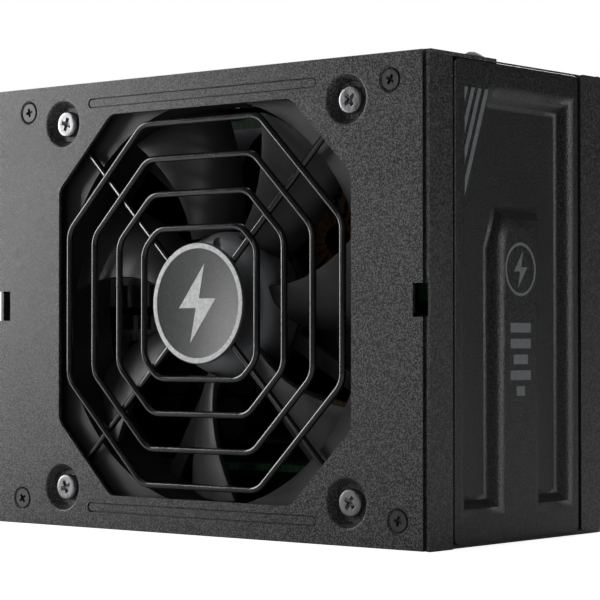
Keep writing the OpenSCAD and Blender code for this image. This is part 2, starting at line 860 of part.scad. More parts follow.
module bus_bars() {
    color("#c98a4a") for (x = [-12, -6, 0, 6, 12]) {
        block([x - 1.5, 21, socket_board_z + board_t], [x + 1.5, 22.2, 20]);
        block([x - 1.5, 21, 20 - play], [x + 1.5, board_front, 21.2]);
    }
}

// A block of square cable sockets, two rows deep, open towards -Z
module socket_block(s) {
    w = s[2] * socket_pitch + 1.8;
    d = 2 * socket_pitch + 1.8;
    translate([s[0], s[1], 0]) difference() {
        translate([-w / 2, -d / 2, socket_front]) cube([w, d, socket_board_z - socket_front]);
        for (i = [0:s[2] - 1], row = [-0.5, 0.5])
            translate([(i - (s[2] - 1) / 2) * socket_pitch, row * socket_pitch, (socket_board_z - 2) / 2])
                cube([socket_hole, socket_hole, socket_board_z - 2], center = true);
    }
}

module main_sockets() {
    color("#141415") for (s = main_sockets) socket_block(s);
}

module power_sockets() {
    color("#141415") for (s = power_sockets) socket_block(s);
}

module drive_sockets() {
    color("#141415") for (s = drive_sockets) socket_block(s);
}

module socket_pins() {
    color("#c9ccd0") for (s = concat(main_sockets, power_sockets, drive_sockets))
        for (i = [0:s[2] - 1], row = [-0.5, 0.5])
            translate([s[0] + (i - (s[2] - 1) / 2) * socket_pitch, s[1] + row * socket_pitch, 0])
                block([-0.5, -0.5, 3], [0.5, 0.5, socket_board_z - 2]);
}

base_shell();
right_side_panel();
left_side_panel();
fan_cover();
cover_screws();
tab_screws();
fan_grille();
grille_badge();
fan_screws();
fan_frame();
fan_bush();
fan_stator();
fan_coils();
fan_board();
fan_rotor();
rotor_cup();
rotor_magnet();
fan_shaft();
fan_lead();
fan_plug();
inlet_housing();
inlet_pins();
switch_housing();
switch_terminals();
power_rocker();
mains_wires();
earth_screw();
main_board();
board_standoffs();
board_screws();
insulating_sheet();
bulk_capacitor();
output_capacitors();
transformer_core();
transformer_winding();
pfc_choke_core();
pfc_choke_winding();
filter_core();
filter_winding();
filter_capacitors();
mains_fuse();
inrush_relay();
bridge_rectifier();
primary_heatsink();
power_transistors();
secondary_heatsink();
converter_board();
converter_chokes();
control_board();
standby_transformer();
socket_board();
bus_bars();
main_sockets();
power_sockets();
drive_sockets();
socket_pins();
fan_baffle();
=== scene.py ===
import json
import math

import bmesh
import bpy
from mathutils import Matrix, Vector

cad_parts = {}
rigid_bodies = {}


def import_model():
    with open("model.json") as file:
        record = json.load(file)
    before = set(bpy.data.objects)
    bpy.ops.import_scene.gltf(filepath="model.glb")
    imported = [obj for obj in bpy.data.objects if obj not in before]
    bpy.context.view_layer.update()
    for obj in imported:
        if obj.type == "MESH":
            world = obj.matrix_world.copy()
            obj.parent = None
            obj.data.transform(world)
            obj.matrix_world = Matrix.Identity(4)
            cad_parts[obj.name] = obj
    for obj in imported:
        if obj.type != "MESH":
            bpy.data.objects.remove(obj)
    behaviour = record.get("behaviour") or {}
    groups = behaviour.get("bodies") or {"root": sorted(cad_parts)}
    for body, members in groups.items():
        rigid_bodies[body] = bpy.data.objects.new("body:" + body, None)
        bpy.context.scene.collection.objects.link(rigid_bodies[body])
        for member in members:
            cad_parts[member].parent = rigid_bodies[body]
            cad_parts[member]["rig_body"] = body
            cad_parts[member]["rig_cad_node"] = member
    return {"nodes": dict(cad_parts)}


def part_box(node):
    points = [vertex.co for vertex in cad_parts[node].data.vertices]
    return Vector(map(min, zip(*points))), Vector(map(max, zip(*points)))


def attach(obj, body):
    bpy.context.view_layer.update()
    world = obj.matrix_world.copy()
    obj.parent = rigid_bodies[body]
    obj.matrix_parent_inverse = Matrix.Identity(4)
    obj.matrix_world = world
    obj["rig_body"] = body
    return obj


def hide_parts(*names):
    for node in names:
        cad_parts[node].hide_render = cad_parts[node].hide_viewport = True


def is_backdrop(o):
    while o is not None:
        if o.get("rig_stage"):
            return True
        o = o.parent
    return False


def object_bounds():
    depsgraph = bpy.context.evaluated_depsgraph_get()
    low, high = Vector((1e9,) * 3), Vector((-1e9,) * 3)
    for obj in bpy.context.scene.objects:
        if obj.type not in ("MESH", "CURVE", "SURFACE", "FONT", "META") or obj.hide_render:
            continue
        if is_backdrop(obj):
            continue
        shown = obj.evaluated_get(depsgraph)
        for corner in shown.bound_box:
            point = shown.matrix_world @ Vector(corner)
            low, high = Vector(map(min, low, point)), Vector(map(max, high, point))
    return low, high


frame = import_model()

cad_box = [list(corner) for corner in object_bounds()]

# ---------------------------------------------------------------- sizes, in metres
MM = 0.001
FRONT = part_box("fan_cover")[0][1]
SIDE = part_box("right_side_panel")[1][0]
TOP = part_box("fan_cover")[1][2]
MIDDLE = TOP / 2
SHEET = 0.8 * MM

# how far cutters reach past what they cut
REACH = 4 * MM

# fan cover
FAN_PITCH = 82.5 * MM
OPENING_HALF = 42.5 * MM
OPENING_FLAT = 26.2 * MM
OPENING_BEND = 3 * MM
CUP_DEPTH = 2.3 * MM
CUP_HOLE = 5.9 * MM
NOTCH_HALF = 3.4 * MM
LEFT_NOTCH = 3.9 * MM
RIGHT_NOTCH = 2.5 * MM
TAB_WIDTH = 11 * MM
TAB_END = -7.5 * MM
# the tab screws' distance from the sides, and their place along Y
TAB_SCREW_IN = 3.7 * MM
TAB_SCREW_Y = -12 * MM
# the case screws that pass through the tabs
CASE_SCREW = (56.5 * MM, -25.75 * MM)
# pressed lines above and below the opening: half length, half width, distance from the ends
LINE_HALF = 33.2 * MM
LINE_WIDTH = 1.1 * MM
LINE_IN = 4.7 * MM

# grille
WIRE = 0.75 * MM
RING_BEND = 5 * MM
# half size and half straight side of each wire ring
RINGS = [(39.7 * MM, 16.8 * MM), (31.8 * MM, 15.3 * MM), (24.0 * MM, 13.8 * MM), (16.4 * MM, 12.0 * MM)]
SPOKE_HALF = 52.5 * MM

# side panels; the channel's and the island's edges are in mm along Y and Z
CHANNEL_DEPTH = 2.5 * MM
CHANNEL_SLOPE = 2.5 * MM
CHANNEL_NEAR, CHANNEL_FAR = -19.8, 19.0
CHANNEL_LOW, CHANNEL_HIGH = 7.3, 93.0
# width and height of the channel's slanted corner, then of the island's
CORNER_Y, CORNER_Z = 8.7, 23
ISLAND_HALF = 7.0
ISLAND_TOP = 66.8
ISLAND_CORNER_Y, ISLAND_CORNER_Z = 2.3, 6.3
# thickness of a print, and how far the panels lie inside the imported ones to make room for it
INK = 0.04 * MM
PANEL_SINK = 0.03 * MM

# fan rotor
HUB_RADIUS = 15.8 * MM
TIP_RADIUS = 43.0 * MM
BLADE_COUNT = 7
BLADE_PITCH = math.radians(50)
BLADE_WIDENING = 3.4
BLADE_SWEEP = 8 * MM

# rocker
ROCKER_PIVOT = (8 * MM, 4 * MM, TOP - 2.5 * MM)
ROCKER_LEAN = math.radians(8)
ROCKER_WING = math.atan2(1.2, 9)


# ---------------------------------------------------------------- modelling helpers
def deselect_all():
    """Object mode with nothing selected."""
    if bpy.context.mode != "OBJECT":
        bpy.ops.object.mode_set(mode="OBJECT")
    bpy.ops.object.select_all(action="DESELECT")


def activate(obj):
    """Only this object selected and active."""
    deselect_all()
    obj.select_set(True)
    bpy.context.view_layer.objects.active = obj


def named(name):
    """The object just added, with its name on it and on its mesh."""
    obj = bpy.context.active_object
    obj.name = name
    obj.data.name = name
    return obj


def settle(obj):
    """Writes the object's place, turn and size into its mesh."""
    activate(obj)
    bpy.ops.object.transform_apply(location=True, rotation=True, scale=True)
    return obj


def block(name, low, high):
    """A box between two corners."""
    deselect_all()
    low, high = Vector(low), Vector(high)
    bpy.ops.mesh.primitive_cube_add(size=1, location=(low + high) / 2)
    obj = named(name)
    obj.scale = high - low
    return settle(obj)


# turns that point a shape's +Z along another way
TURN = {
    "z": (0, 0, 0),
    "y": (-math.pi / 2, 0, 0),
    "-y": (math.pi / 2, 0, 0),
    "x": (0, math.pi / 2, 0),
}


def bar(name, radius, start, length, way="z", sides=32, end_radius=None):
    """A round bar or cone from a start point, along a way."""
    deselect_all()
    if end_radius is None:
        end_radius = radius
    bpy.ops.mesh.primitive_cone_add(
        vertices=sides, radius1=radius, radius2=end_radius, depth=length, location=(0, 0, length / 2)
    )
    obj = settle(named(name))
    obj.rotation_euler = TURN[way]
    obj.location = start
    return settle(obj)


def edit(obj):
    """Edit mode on one object, picking vertices."""
    activate(obj)
    bpy.context.tool_settings.mesh_select_mode = (True, False, False)
    bpy.ops.object.mode_set(mode="EDIT")


def pick(obj, kind, test):
    """Selects the verts, edges or faces that pass a test, and nothing else."""
    mesh = bmesh.from_edit_mesh(obj.data)
    bpy.context.tool_settings.mesh_select_mode = (kind == "verts", kind == "edges", kind == "faces")
    for part in (mesh.verts, mesh.edges, mesh.faces):
        for item in part:
            item.select_set(False)
    for item in getattr(mesh, kind):
        if test(item):
            item.select_set(True)
    mesh.select_flush_mode()
    bmesh.update_edit_mesh(obj.data)


def leave_edit():
    """Back to object mode."""
    bpy.ops.object.mode_set(mode="OBJECT")


def weld(threshold=1e-6):
    """In edit mode: joins points that meet and turns every face outwards."""
    bpy.ops.mesh.select_all(action="SELECT")
    bpy.ops.mesh.remove_doubles(threshold=threshold)
    bpy.ops.mesh.normals_make_consistent(inside=False)


def round_edges(obj, test, offset, segments):
    """Rounds the edges that pass a test."""
    edit(obj)
    pick(obj, "edges", test)
    bpy.ops.mesh.bevel(offset=offset, segments=segments, affect="EDGES")
    leave_edit()


def middle(item):
    """The middle of an edge or a face."""
    if isinstance(item, bmesh.types.BMFace):
        return item.calc_center_median()
    return (item.verts[0].co + item.verts[1].co) / 2


def folded(edge, least=0.3):
    """True for an edge between two faces at an angle."""
    return len(edge.link_faces) == 2 and edge.calc_face_angle() > least


def point_path(name, points):
    """A line of edges, extruded from one vertex through the points."""
    deselect_all()
    first = Vector(points[0])
    bpy.ops.mesh.primitive_plane_add(size=MM, location=first)
    obj = settle(named(name))
    edit(obj)
    bpy.ops.mesh.select_all(action="SELECT")
    bpy.ops.mesh.merge(type="CENTER")
    here = first
    for point in points[1:]:
        step = Vector(point) - here
        bpy.ops.mesh.extrude_region_move(TRANSFORM_OT_translate={"value": step})
        here = Vector(point)
    return obj


def lathe(name, profile, centre=(0, 0, 0), way="z", steps=32):
    """A turned piece: the profile is (radius, height) points along the axis."""
    obj = point_path(name, [(radius, 0, height) for radius, height in profile])
    bpy.ops.mesh.select_all(action="SELECT")
    bpy.ops.mesh.spin(steps=steps, angle=2 * math.pi, center=(0, 0, 0), axis=(0, 0, 1))
    weld()
    leave_edit()
    obj.rotation_euler = TURN[way]
    obj.location = centre
    return settle(obj)


def washer(outer, inner, thick):
    """The closed profile of a flat ring, for lathe."""
    return [(outer, 0), (outer, thick), (inner, thick), (inner, 0), (outer, 0)]


def arc(cx, cy, radius, start, end, count):
    """Points of a circular arc, angles in degrees."""
    turn = [math.radians(start + (end - start) * i / count) for i in range(count + 1)]
    return [(cx + radius * math.cos(a), cy + radius * math.sin(a)) for a in turn]


def modify(obj, kind, **values):
    """Adds a modifier and applies it."""
    activate(obj)
    mod = obj.modifiers.new(kind.lower(), kind)
    for key, value in values.items():
        setattr(mod, key, value)
    bpy.ops.object.modifier_apply(modifier=mod.name)
    return obj


def cut(obj, *cutters):
    """Takes the cutters' shapes out of a piece."""
    for cutter in cutters:
        modify(obj, "BOOLEAN", operation="DIFFERENCE", solver="EXACT", object=cutter)
        bpy.data.objects.remove(cutter)
    return obj


def merge(obj, *others):
    """Joins pieces into one solid."""
    for other in others:
        modify(obj, "BOOLEAN", operation="UNION", solver="EXACT", object=other)
        bpy.data.objects.remove(other)
    return obj


def gather(name, pieces):
    """Joins pieces into one object and leaves their shells apart."""
    deselect_all()
    for piece in pieces:
        piece.select_set(True)
    bpy.context.view_layer.objects.active = pieces[0]
    bpy.ops.object.join()
    return named(name)


def bevel(obj, width, segments=2, angle=30):
    """Rounds the edges sharper than an angle."""
    return modify(
        obj, "BEVEL", width=width, segments=segments, limit_method="ANGLE", angle_limit=math.radians(angle)
    )


def smooth(obj, angle=35):
    """Smooth shading up to an angle."""
    activate(obj)
    bpy.ops.object.shade_smooth_by_angle(angle=math.radians(angle))
    return obj


def smooth_sheet(obj, angle=40):
    """Smooth edges round flat faces that still look flat."""
    smooth(obj, angle)
    return modify(obj, "WEIGHTED_NORMAL", mode="FACE_AREA", keep_sharp=True)


def twin(obj, name, move=(0, 0, 0), turn=None, mirror_x=False):
    """A copy with its own mesh, moved, turned about the world origin, or mirrored in X."""
    activate(obj)
    bpy.ops.object.duplicate(linked=False)
    copy = named(name)
    if turn:
        copy.rotation_euler = turn
    if mirror_x:
        copy.scale = (-1, 1, 1)
    copy.location = move
    settle(copy)
    if mirror_x:
        edit(copy)
        bpy.ops.mesh.select_all(action="SELECT")
        bpy.ops.mesh.normals_make_consistent(inside=False)
        bpy.ops.object.mode_set(mode="OBJECT")
    return copy


def worked_copy(node, name, width=0.15 * MM, segments=2, added=()):
    """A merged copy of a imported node, with blocks added and its edges rounded."""
    activate(frame["nodes"][node])
    bpy.ops.object.duplicate(linked=False)
    obj = named(name)
    obj.parent = None
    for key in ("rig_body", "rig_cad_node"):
        if key in obj:
            del obj[key]
    obj.data.materials.clear()
    edit(obj)
    bpy.ops.mesh.select_all(action="SELECT")
    bpy.ops.mesh.remove_doubles(threshold=1e-6)
    bpy.ops.mesh.dissolve_limited(angle_limit=math.radians(1))
    bpy.ops.object.mode_set(mode="OBJECT")
    merge(obj, *added)
    return smooth_sheet(bevel(obj, width, segments))


def place(obj, body, slot, material, *nodes):
    """Gives a piece its body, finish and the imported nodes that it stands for."""
    obj.data.materials.clear()
    obj.data.materials.append(material)
    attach(obj, body)
    if nodes:
        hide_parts(*nodes)
    return obj


# ---------------------------------------------------------------- shader groups
def shader_group(name, inputs, outputs):
    """An empty node group with float inputs (name: default) and outputs (name: socket kind)."""
    group = bpy.data.node_groups.new(name, "ShaderNodeTree")
    for key, value in inputs.items():
        socket = group.interface.new_socket(key, in_out="INPUT", socket_type="NodeSocketFloat")
        socket.default_value = value
    for key, kind in outputs.items():
        group.interface.new_socket(key, in_out="OUTPUT", socket_type=kind)
    enter = group.nodes.new("NodeGroupInput")
    leave = group.nodes.new("NodeGroupOutput")
    return group, enter, leave


def noise(tree, where, scale, detail=2.0, roughness=0.5):
    """A noise texture on the given coordinates; scale is a number or a socket."""
    node = tree.nodes.new("ShaderNodeTexNoise")
    node.inputs["Detail"].default_value = detail
    node.inputs["Roughness"].default_value = roughness
    tree.links.new(where, node.inputs["Vector"])
    if isinstance(scale, (int, float)):
        node.inputs["Scale"].default_value = scale
    else:
        tree.links.new(scale, node.inputs["Scale"])
    return node.outputs["Fac"]


def math_node(tree, operation, a, b):
    """A math node on two sockets or numbers."""
    node = tree.nodes.new("ShaderNodeMath")
    node.operation = operation
    for socket, value in zip(node.inputs, (a, b)):
        if isinstance(value, (int, float)):
            socket.default_value = value
        else:
            tree.links.new(value, socket)
    return node.outputs[0]


def spread(tree, value, low, high, to_low=0.0, to_high=1.0):
    """Maps a value from low..high to to_low..to_high, clamped."""
    node = tree.nodes.new("ShaderNodeMapRange")
    tree.links.new(value, node.inputs["Value"])
    for key, number in (("From Min", low), ("From Max", high), ("To Min", to_low), ("To Max", to_high)):
        node.inputs[key].default_value = number
    return node.outputs["Result"]


def grain_group():
    """Fine orange-peel grain of a baked powder coat: a speckle mask and a height."""
    group, enter, leave = shader_group(
        "coat_grain",
        {"Grain Scale": 1500.0, "Speckle": 0.5},
        {"Mask": "NodeSocketFloat", "Height": "NodeSocketFloat"},
    )
    where = group.nodes.new("ShaderNodeTexCoord").outputs["Object"]
    fine = noise(group, where, enter.outputs["Grain Scale"], 1.0, 0.6)
    speckle = spread(group, fine, 0.42, 0.64)
    centred = math_node(group, "SUBTRACT", speckle, 0.5)
    scaled = math_node(group, "MULTIPLY", centred, enter.outputs["Speckle"])
    group.links.new(math_node(group, "ADD", scaled, 0.5), leave.inputs["Mask"])
    group.links.new(fine, leave.inputs["Height"])
    return group


def smudge_group():
    """Slow change over a surface, from handling and dust: a mask around one half."""
    group, enter, leave = shader_group("smudge", {"Patch Scale": 40.0}, {"Mask": "NodeSocketFloat"})
    where = group.nodes.new("ShaderNodeTexCoord").outputs["Object"]
    wide = noise(group, where, enter.outputs["Patch Scale"], 4.0, 0.55)
    group.links.new(spread(group, wide, 0.3, 0.7), leave.inputs["Mask"])
    return group


COAT_GRAIN = 3000.0
INK_GRAIN = 1500.0
GRAIN = grain_group()
SMUDGE = smudge_group()


class Finish:
    """A material being built: its tree, its shader and a few shared steps."""

    def __init__(self, name, colour, roughness, metallic=0.0, specular=0.5, coat=0.0):
        self.material = bpy.data.materials.new(name)
        self.material.use_nodes = True
        self.tree = self.material.node_tree
        self.shader = self.tree.nodes["Principled BSDF"]
        self.set("Base Color", (*colour, 1))
        self.set("Roughness", roughness)
        self.set("Metallic", metallic)
        self.set("Specular IOR Level", specular)
        self.set("Coat Weight", coat)
        self.where = self.tree.nodes.new("ShaderNodeTexCoord").outputs["Object"]

    def set(self, key, value):
        """A constant on the shader's own socket."""
        self.shader.inputs[key].default_value = value

    def link(self, value, key):
        """A changing value into one of the shader's sockets."""
        self.tree.links.new(value, self.shader.inputs[key])

    def group(self, group, output, **inputs):
        """One output of a shared group, with its inputs set."""
        node = self.tree.nodes.new("ShaderNodeGroup")
        node.node_tree = group
        for key, value in inputs.items():
            node.inputs[key.replace("_", " ")].default_value = value
        return node.outputs[output]

    def blend(self, mask, first, second):
        """A colour between two, by a mask."""
        node = self.tree.nodes.new("ShaderNodeMix")
        node.data_type = "RGBA"
        self.tree.links.new(mask, node.inputs["Factor"])
        node.inputs["A"].default_value = (*first, 1)
        node.inputs["B"].default_value = (*second, 1)
        return node.outputs["Result"]

    def bump(self, height, strength, distance):
        """Relief from a height, into the shader's normal."""
        node = self.tree.nodes.new("ShaderNodeBump")
        node.inputs["Strength"].default_value = strength
        node.inputs["Distance"].default_value = distance
        self.tree.links.new(height, node.inputs["Height"])
        self.link(node.outputs["Normal"], "Normal")


def powder_coat(name, dark, light, smoothest, roughest):
    """Baked textured paint: speckled, with a grain that catches the light."""
    made = Finish(name, dark, 0.5)
    mask = made.group(GRAIN, "Mask", Grain_Scale=COAT_GRAIN, Speckle=1.0)
    height = made.group(GRAIN, "Height", Grain_Scale=COAT_GRAIN)
    made.link(made.blend(mask, dark, light), "Base Color")
    patches = made.group(SMUDGE, "Mask", Patch_Scale=30.0)
    uneven = math_node(made.tree, "MULTIPLY", math_node(made.tree, "ADD", mask, patches), 0.5)
    made.link(spread(made.tree, uneven, 0, 1, smoothest, roughest), "Roughness")
    made.bump(height, 1.0, 0.06 * MM)
    return made.material


def moulded(name, colour, roughness, grain=900.0, strength=0.12):
    """Moulded plastic with a faint skin."""
    made = Finish(name, colour, roughness)
    height = made.group(GRAIN, "Height", Grain_Scale=grain)
    patches = made.group(SMUDGE, "Mask", Patch_Scale=60.0)
    lighter = [min(1.0, c * 1.35 + 0.002) for c in colour]
    made.link(made.blend(patches, colour, lighter), "Base Color")
    made.link(spread(made.tree, patches, 0, 1, roughness, min(1.0, roughness + 0.12)), "Roughness")
    made.bump(height, strength, 0.05 * MM)
    return made.material


def metal(name, colour, roughness):
    """Bare metal with fine drawn lines along one way."""
    line_scale = 2400.0
    stretch = 12
    made = Finish(name, colour, roughness, metallic=1.0)
    mapping = made.tree.nodes.new("ShaderNodeMapping")
    mapping.inputs["Scale"].default_value = (1, 1, 1 / stretch)
    made.tree.links.new(made.where, mapping.inputs["Vector"])
    lines = noise(made.tree, mapping.outputs["Vector"], line_scale, 3.0)
    darker = [c * 0.72 for c in colour]
    made.link(made.blend(lines, darker, colour), "Base Color")
    made.link(spread(made.tree, lines, 0.3, 0.7, roughness * 0.7, roughness * 1.3), "Roughness")
    made.bump(lines, 0.15, 0.02 * MM)
    return made.material


def gloss_wire(name):
    """Thick gloss enamel on wire."""
    made = Finish(name, (0.004, 0.004, 0.0045), 0.18, specular=0.6, coat=0.6)
    made.set("Coat Roughness", 0.12)
    patches = made.group(SMUDGE, "Mask", Patch_Scale=300.0)
    made.link(spread(made.tree, patches, 0, 1, 0.18, 0.3), "Roughness")
    made.bump(made.group(GRAIN, "Height", Grain_Scale=700.0), 0.08, 0.03 * MM)
    return made.material


def circuit_board(name):
    """Green solder mask with faint copper runs under it."""
    made = Finish(name, (0.015, 0.08, 0.035), 0.35, coat=0.3)
    brick = made.tree.nodes.new("ShaderNodeTexBrick")
    brick.inputs["Scale"].default_value = 260.0
    brick.inputs["Mortar Size"].default_value = 0.03
    brick.inputs["Color1"].default_value = (0.012, 0.07, 0.03, 1)
    brick.inputs["Color2"].default_value = (0.02, 0.10, 0.045, 1)
    brick.inputs["Mortar"].default_value = (0.06, 0.16, 0.07, 1)
    made.tree.links.new(made.where, brick.inputs["Vector"])
    made.link(brick.outputs["Color"], "Base Color")
    patches = made.group(SMUDGE, "Mask", Patch_Scale=80.0)
    made.link(spread(made.tree, patches, 0, 1, 0.28, 0.45), "Roughness")
    return made.material


def wound(name, colour, dark, turns, metallic=0.0):
    """Layered tape or wire: fine lines along a winding."""
    made = Finish(name, colour, 0.35, metallic=metallic, coat=0.3)
    wave = made.tree.nodes.new("ShaderNodeTexWave")
    wave.inputs["Scale"].default_value = turns
    wave.inputs["Distortion"].default_value = 0.6
    made.tree.links.new(made.where, wave.inputs["Vector"])
    made.link(made.blend(wave.outputs["Fac"], dark, colour), "Base Color")
    patches = made.group(SMUDGE, "Mask", Patch_Scale=90.0)
    made.link(spread(made.tree, patches, 0, 1, 0.25, 0.45), "Roughness")
    made.bump(wave.outputs["Fac"], 0.3, 0.1 * MM)
    return made.material


def printed(name, colour, roughness=0.45):
    """Screen-printed ink over the coat's grain."""
    made = Finish(name, colour, roughness)
    mask = made.group(GRAIN, "Mask", Grain_Scale=INK_GRAIN, Speckle=0.5)
    darker = [c * 0.8 for c in colour]
    lighter = [min(1, c * 1.2) for c in colour]
    made.link(made.blend(mask, darker, lighter), "Base Color")
    made.link(spread(made.tree, mask, 0, 1, roughness, roughness + 0.1), "Roughness")
    made.bump(made.group(GRAIN, "Height", Grain_Scale=INK_GRAIN), 0.25, 0.08 * MM)
    return made.material


COVER_PAINT = powder_coat("cover_paint", (0.005, 0.0052, 0.0055), (0.14, 0.141, 0.144), 0.30, 0.50)
# the panels' paint is a darker copy of the cover's black coat: its darker colours are painted shade for the
# side panels, which face away from the key light
SHADED_PANEL_PAINT = powder_coat("panel_paint", (0.0015, 0.0017, 0.0019), (0.034, 0.0355, 0.037), 0.26, 0.42)
SHELL_PAINT = powder_coat("shell_paint", (0.003, 0.0032, 0.0034), (0.075, 0.077, 0.079), 0.28, 0.45)
DARK_SCREW = metal("dark_screw", (0.10, 0.10, 0.105), 0.42)
BRIGHT_SCREW = metal("bright_screw", (0.36, 0.36, 0.37), 0.34)
WIRE_ENAMEL = gloss_wire("wire_enamel")
FAN_PLASTIC = moulded("fan_plastic", (0.022, 0.022, 0.023), 0.33)
# the hub's plastic is a lighter grey copy of the rotor's black plastic: painted sheen for the light that the
# hub's rounded face catches
HUB_SHEEN_PLASTIC = moulded("hub_plastic_painted_sheen", (0.15, 0.155, 0.165), 0.4)
BLACK_PLASTIC = moulded("black_plastic", (0.011, 0.011, 0.0115), 0.42)
ROCKER_PLASTIC = moulded("rocker_plastic", (0.008, 0.008, 0.0085), 0.22, 500.0, 0.05)
BADGE_INK = printed("badge_ink", (0.085, 0.087, 0.09), 0.4)
WHITE_INK = printed("white_ink", (0.82, 0.83, 0.84), 0.4)
GREY_INK = printed("grey_ink", (0.17, 0.185, 0.19), 0.5)
BOARD_MASK = circuit_board("board_mask")
COPPER_WIRE = wound("copper_wire", (0.30, 0.12, 0.045), (0.10, 0.04, 0.018), 900.0, 0.8)
YELLOW_TAPE = wound("yellow_tape", (0.62, 0.44, 0.10), (0.42, 0.28, 0.05), 220.0)
YELLOW_CASE = moulded("yellow_case", (0.60, 0.42, 0.08), 0.35)
SLEEVE = moulded("capacitor_sleeve", (0.012, 0.013, 0.02), 0.28)
FERRITE = moulded("ferrite", (0.045, 0.045, 0.048), 0.6, 1400.0, 0.3)
ALUMINIUM = metal("heatsink_aluminium", (0.62, 0.63, 0.65), 0.38)
BRASS = metal("brass", (0.60, 0.43, 0.18), 0.3)
COPPER_BAR = metal("copper_bar", (0.70, 0.34, 0.18), 0.35)
STEEL = metal("bare_steel", (0.50, 0.51, 0.52), 0.32)
TINNED = metal("tinned_pin", (0.68, 0.67, 0.64), 0.25)
RUBBER_LEAD = moulded("lead_cover", (0.02, 0.012, 0.01), 0.5)
NYLON = moulded("nylon_plug", (0.72, 0.68, 0.56), 0.45)
FILM = moulded("board_film", (0.52, 0.40, 0.16), 0.3)
CERAMIC = moulded("fuse_ceramic", (0.62, 0.62, 0.58), 0.35)
RELAY_BLUE = moulded("relay_case", (0.02, 0.045, 0.10), 0.35)
EPOXY = moulded("epoxy_case", (0.014, 0.014, 0.015), 0.5)

NODE_FINISH = {
    BOARD_MASK: ["main_board", "converter_board", "control_board", "socket_board", "fan_board"],
    ALUMINIUM: ["primary_heatsink", "secondary_heatsink"],
    BRASS: ["board_standoffs", "fan_bush"],
    COPPER_BAR: ["bus_bars"],
    COPPER_WIRE: ["fan_coils", "pfc_choke_winding", "filter_winding"],
    YELLOW_TAPE: ["transformer_winding", "standby_transformer"],
    YELLOW_CASE: ["filter_capacitors"],
    SLEEVE: ["bulk_capacitor", "output_capacitors"],
    FERRITE: ["transformer_core", "pfc_choke_core", "filter_core", "rotor_magnet"],
    STEEL: ["fan_stator", "rotor_cup", "fan_shaft"],
    TINNED: ["inlet_pins", "switch_terminals", "socket_pins"],
    RUBBER_LEAD: ["fan_lead", "mains_wires"],
    NYLON: ["fan_plug"],
    FILM: ["insulating_sheet"],
    CERAMIC: ["mains_fuse"],
    RELAY_BLUE: ["inrush_relay"],
    EPOXY: ["bridge_rectifier", "power_transistors", "converter_chokes"],
    BLACK_PLASTIC: [
        "main_sockets", "power_sockets", "drive_sockets", "fan_baffle", "inlet_housing", "switch_housing"
    ],
    FAN_PLASTIC: ["fan_frame", "fan_rotor"],
    SHELL_PAINT: ["base_shell"],
    SHADED_PANEL_PAINT: ["right_side_panel", "left_side_panel"],
    COVER_PAINT: ["fan_cover"],
    WIRE_ENAMEL: ["fan_grille"],
    BADGE_INK: ["grille_badge"],
    DARK_SCREW: ["cover_screws", "tab_screws"],
    BRIGHT_SCREW: ["fan_screws", "board_screws", "earth_screw"],
    ROCKER_PLASTIC: ["power_rocker"],
}


def dress_packed_nodes():
    """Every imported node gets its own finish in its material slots."""
    for material, nodes in NODE_FINISH.items():
        for node in nodes:
            obj = frame["nodes"][node]
            obj.data.materials.clear()
            obj.data.materials.append(material)


# ---------------------------------------------------------------- fan cover
def octagon_prism(name, half, flat, bend, y0, y1):
    """An eight-sided bar along Y with round corners, centred on the fan."""
    deselect_all()
    bpy.ops.mesh.primitive_cube_add(size=1, location=(0, (y0 + y1) / 2, MIDDLE))
    obj = named(name)
    obj.scale = (2 * half, y1 - y0, 2 * half)
    settle(obj)
    edit(obj)
    along_y = lambda e: abs(e.verts[0].co.y - e.verts[1].co.y) > (y1 - y0) / 2
    pick(obj, "edges", along_y)
    bpy.ops.mesh.bevel(offset=half - flat, segments=1, affect="EDGES")
    pick(obj, "edges", along_y)
    bpy.ops.mesh.bevel(offset=bend * math.tan(math.radians(22.5)), segments=6, affect="EDGES")
    bpy.ops.object.mode_set(mode="OBJECT")
    return obj


def slot_bar(name, half_length, z, half_width, y0, y1):
    """A flat bar along X with round ends."""
    obj = block(name, (-half_length, y0, z - half_width), (half_length, y1, z + half_width))
    along_y = lambda e: abs(e.verts[0].co.y - e.verts[1].co.y) > (y1 - y0) / 2
    round_edges(obj, along_y, half_width * 0.98, 8)
    return obj


def pressed_cup(name, x, z):
    """The round dish that a fan screw sits in: a soft lip, a steep wall and a flat floor with a hole."""
    lip, roll, floor, hole = 4.95 * MM, 0.55 * MM, 3.9 * MM, 2.2 * MM
    deep = CUP_DEPTH
    rim = lip + roll + 0.4 * MM
    front = [(rim, 0)]
    front += [(r, roll + h) for r, h in arc(lip + roll, 0, roll, -90, -165, 6)]
    front += [(floor + 0.15 * MM, deep - 0.2 * MM), (floor, deep), (hole, deep)]
    back = [(hole, deep + SHEET), (floor + 0.6 * MM, deep + SHEET), (floor + MM, deep + 0.6 * MM)]
    back += [(lip + roll, 1.3 * MM), (lip + 1.1 * roll, SHEET), (rim, SHEET), (rim, 0)]
    return lathe(name, front + back, (x, FRONT, z), "y", 40)


def drill(obj, radius, start, way, sides=24):
    """A round hole from a start point, right through a sheet."""
    cut(obj, bar("cutter", radius, start, 2 * REACH, way, sides))


def cover_tab(sign, left, right):
    """The tab at one side, folded over the mains end."""
    inner = sign * (SIDE - TAB_WIDTH)
    edge = SIDE if sign > 0 else left
    low = (min(inner, edge), FRONT, TOP - SHEET)
    high = (max(inner, edge), TAB_END, TOP)
    tab = block("tab", low, high)
    upright = lambda e: abs(e.verts[0].co.z - e.verts[1].co.z) > SHEET / 2
    round_edges(tab, lambda e: upright(e) and middle(e).y > TAB_END - 2.5 * MM, 1.5 * MM, 5)
    if sign > 0:
        low = (right, FRONT - REACH, TOP - REACH)
        high = (SIDE + REACH, FRONT + SHEET / 2, TOP + REACH)
        cut(tab, block("cutter", low, high))
    return tab


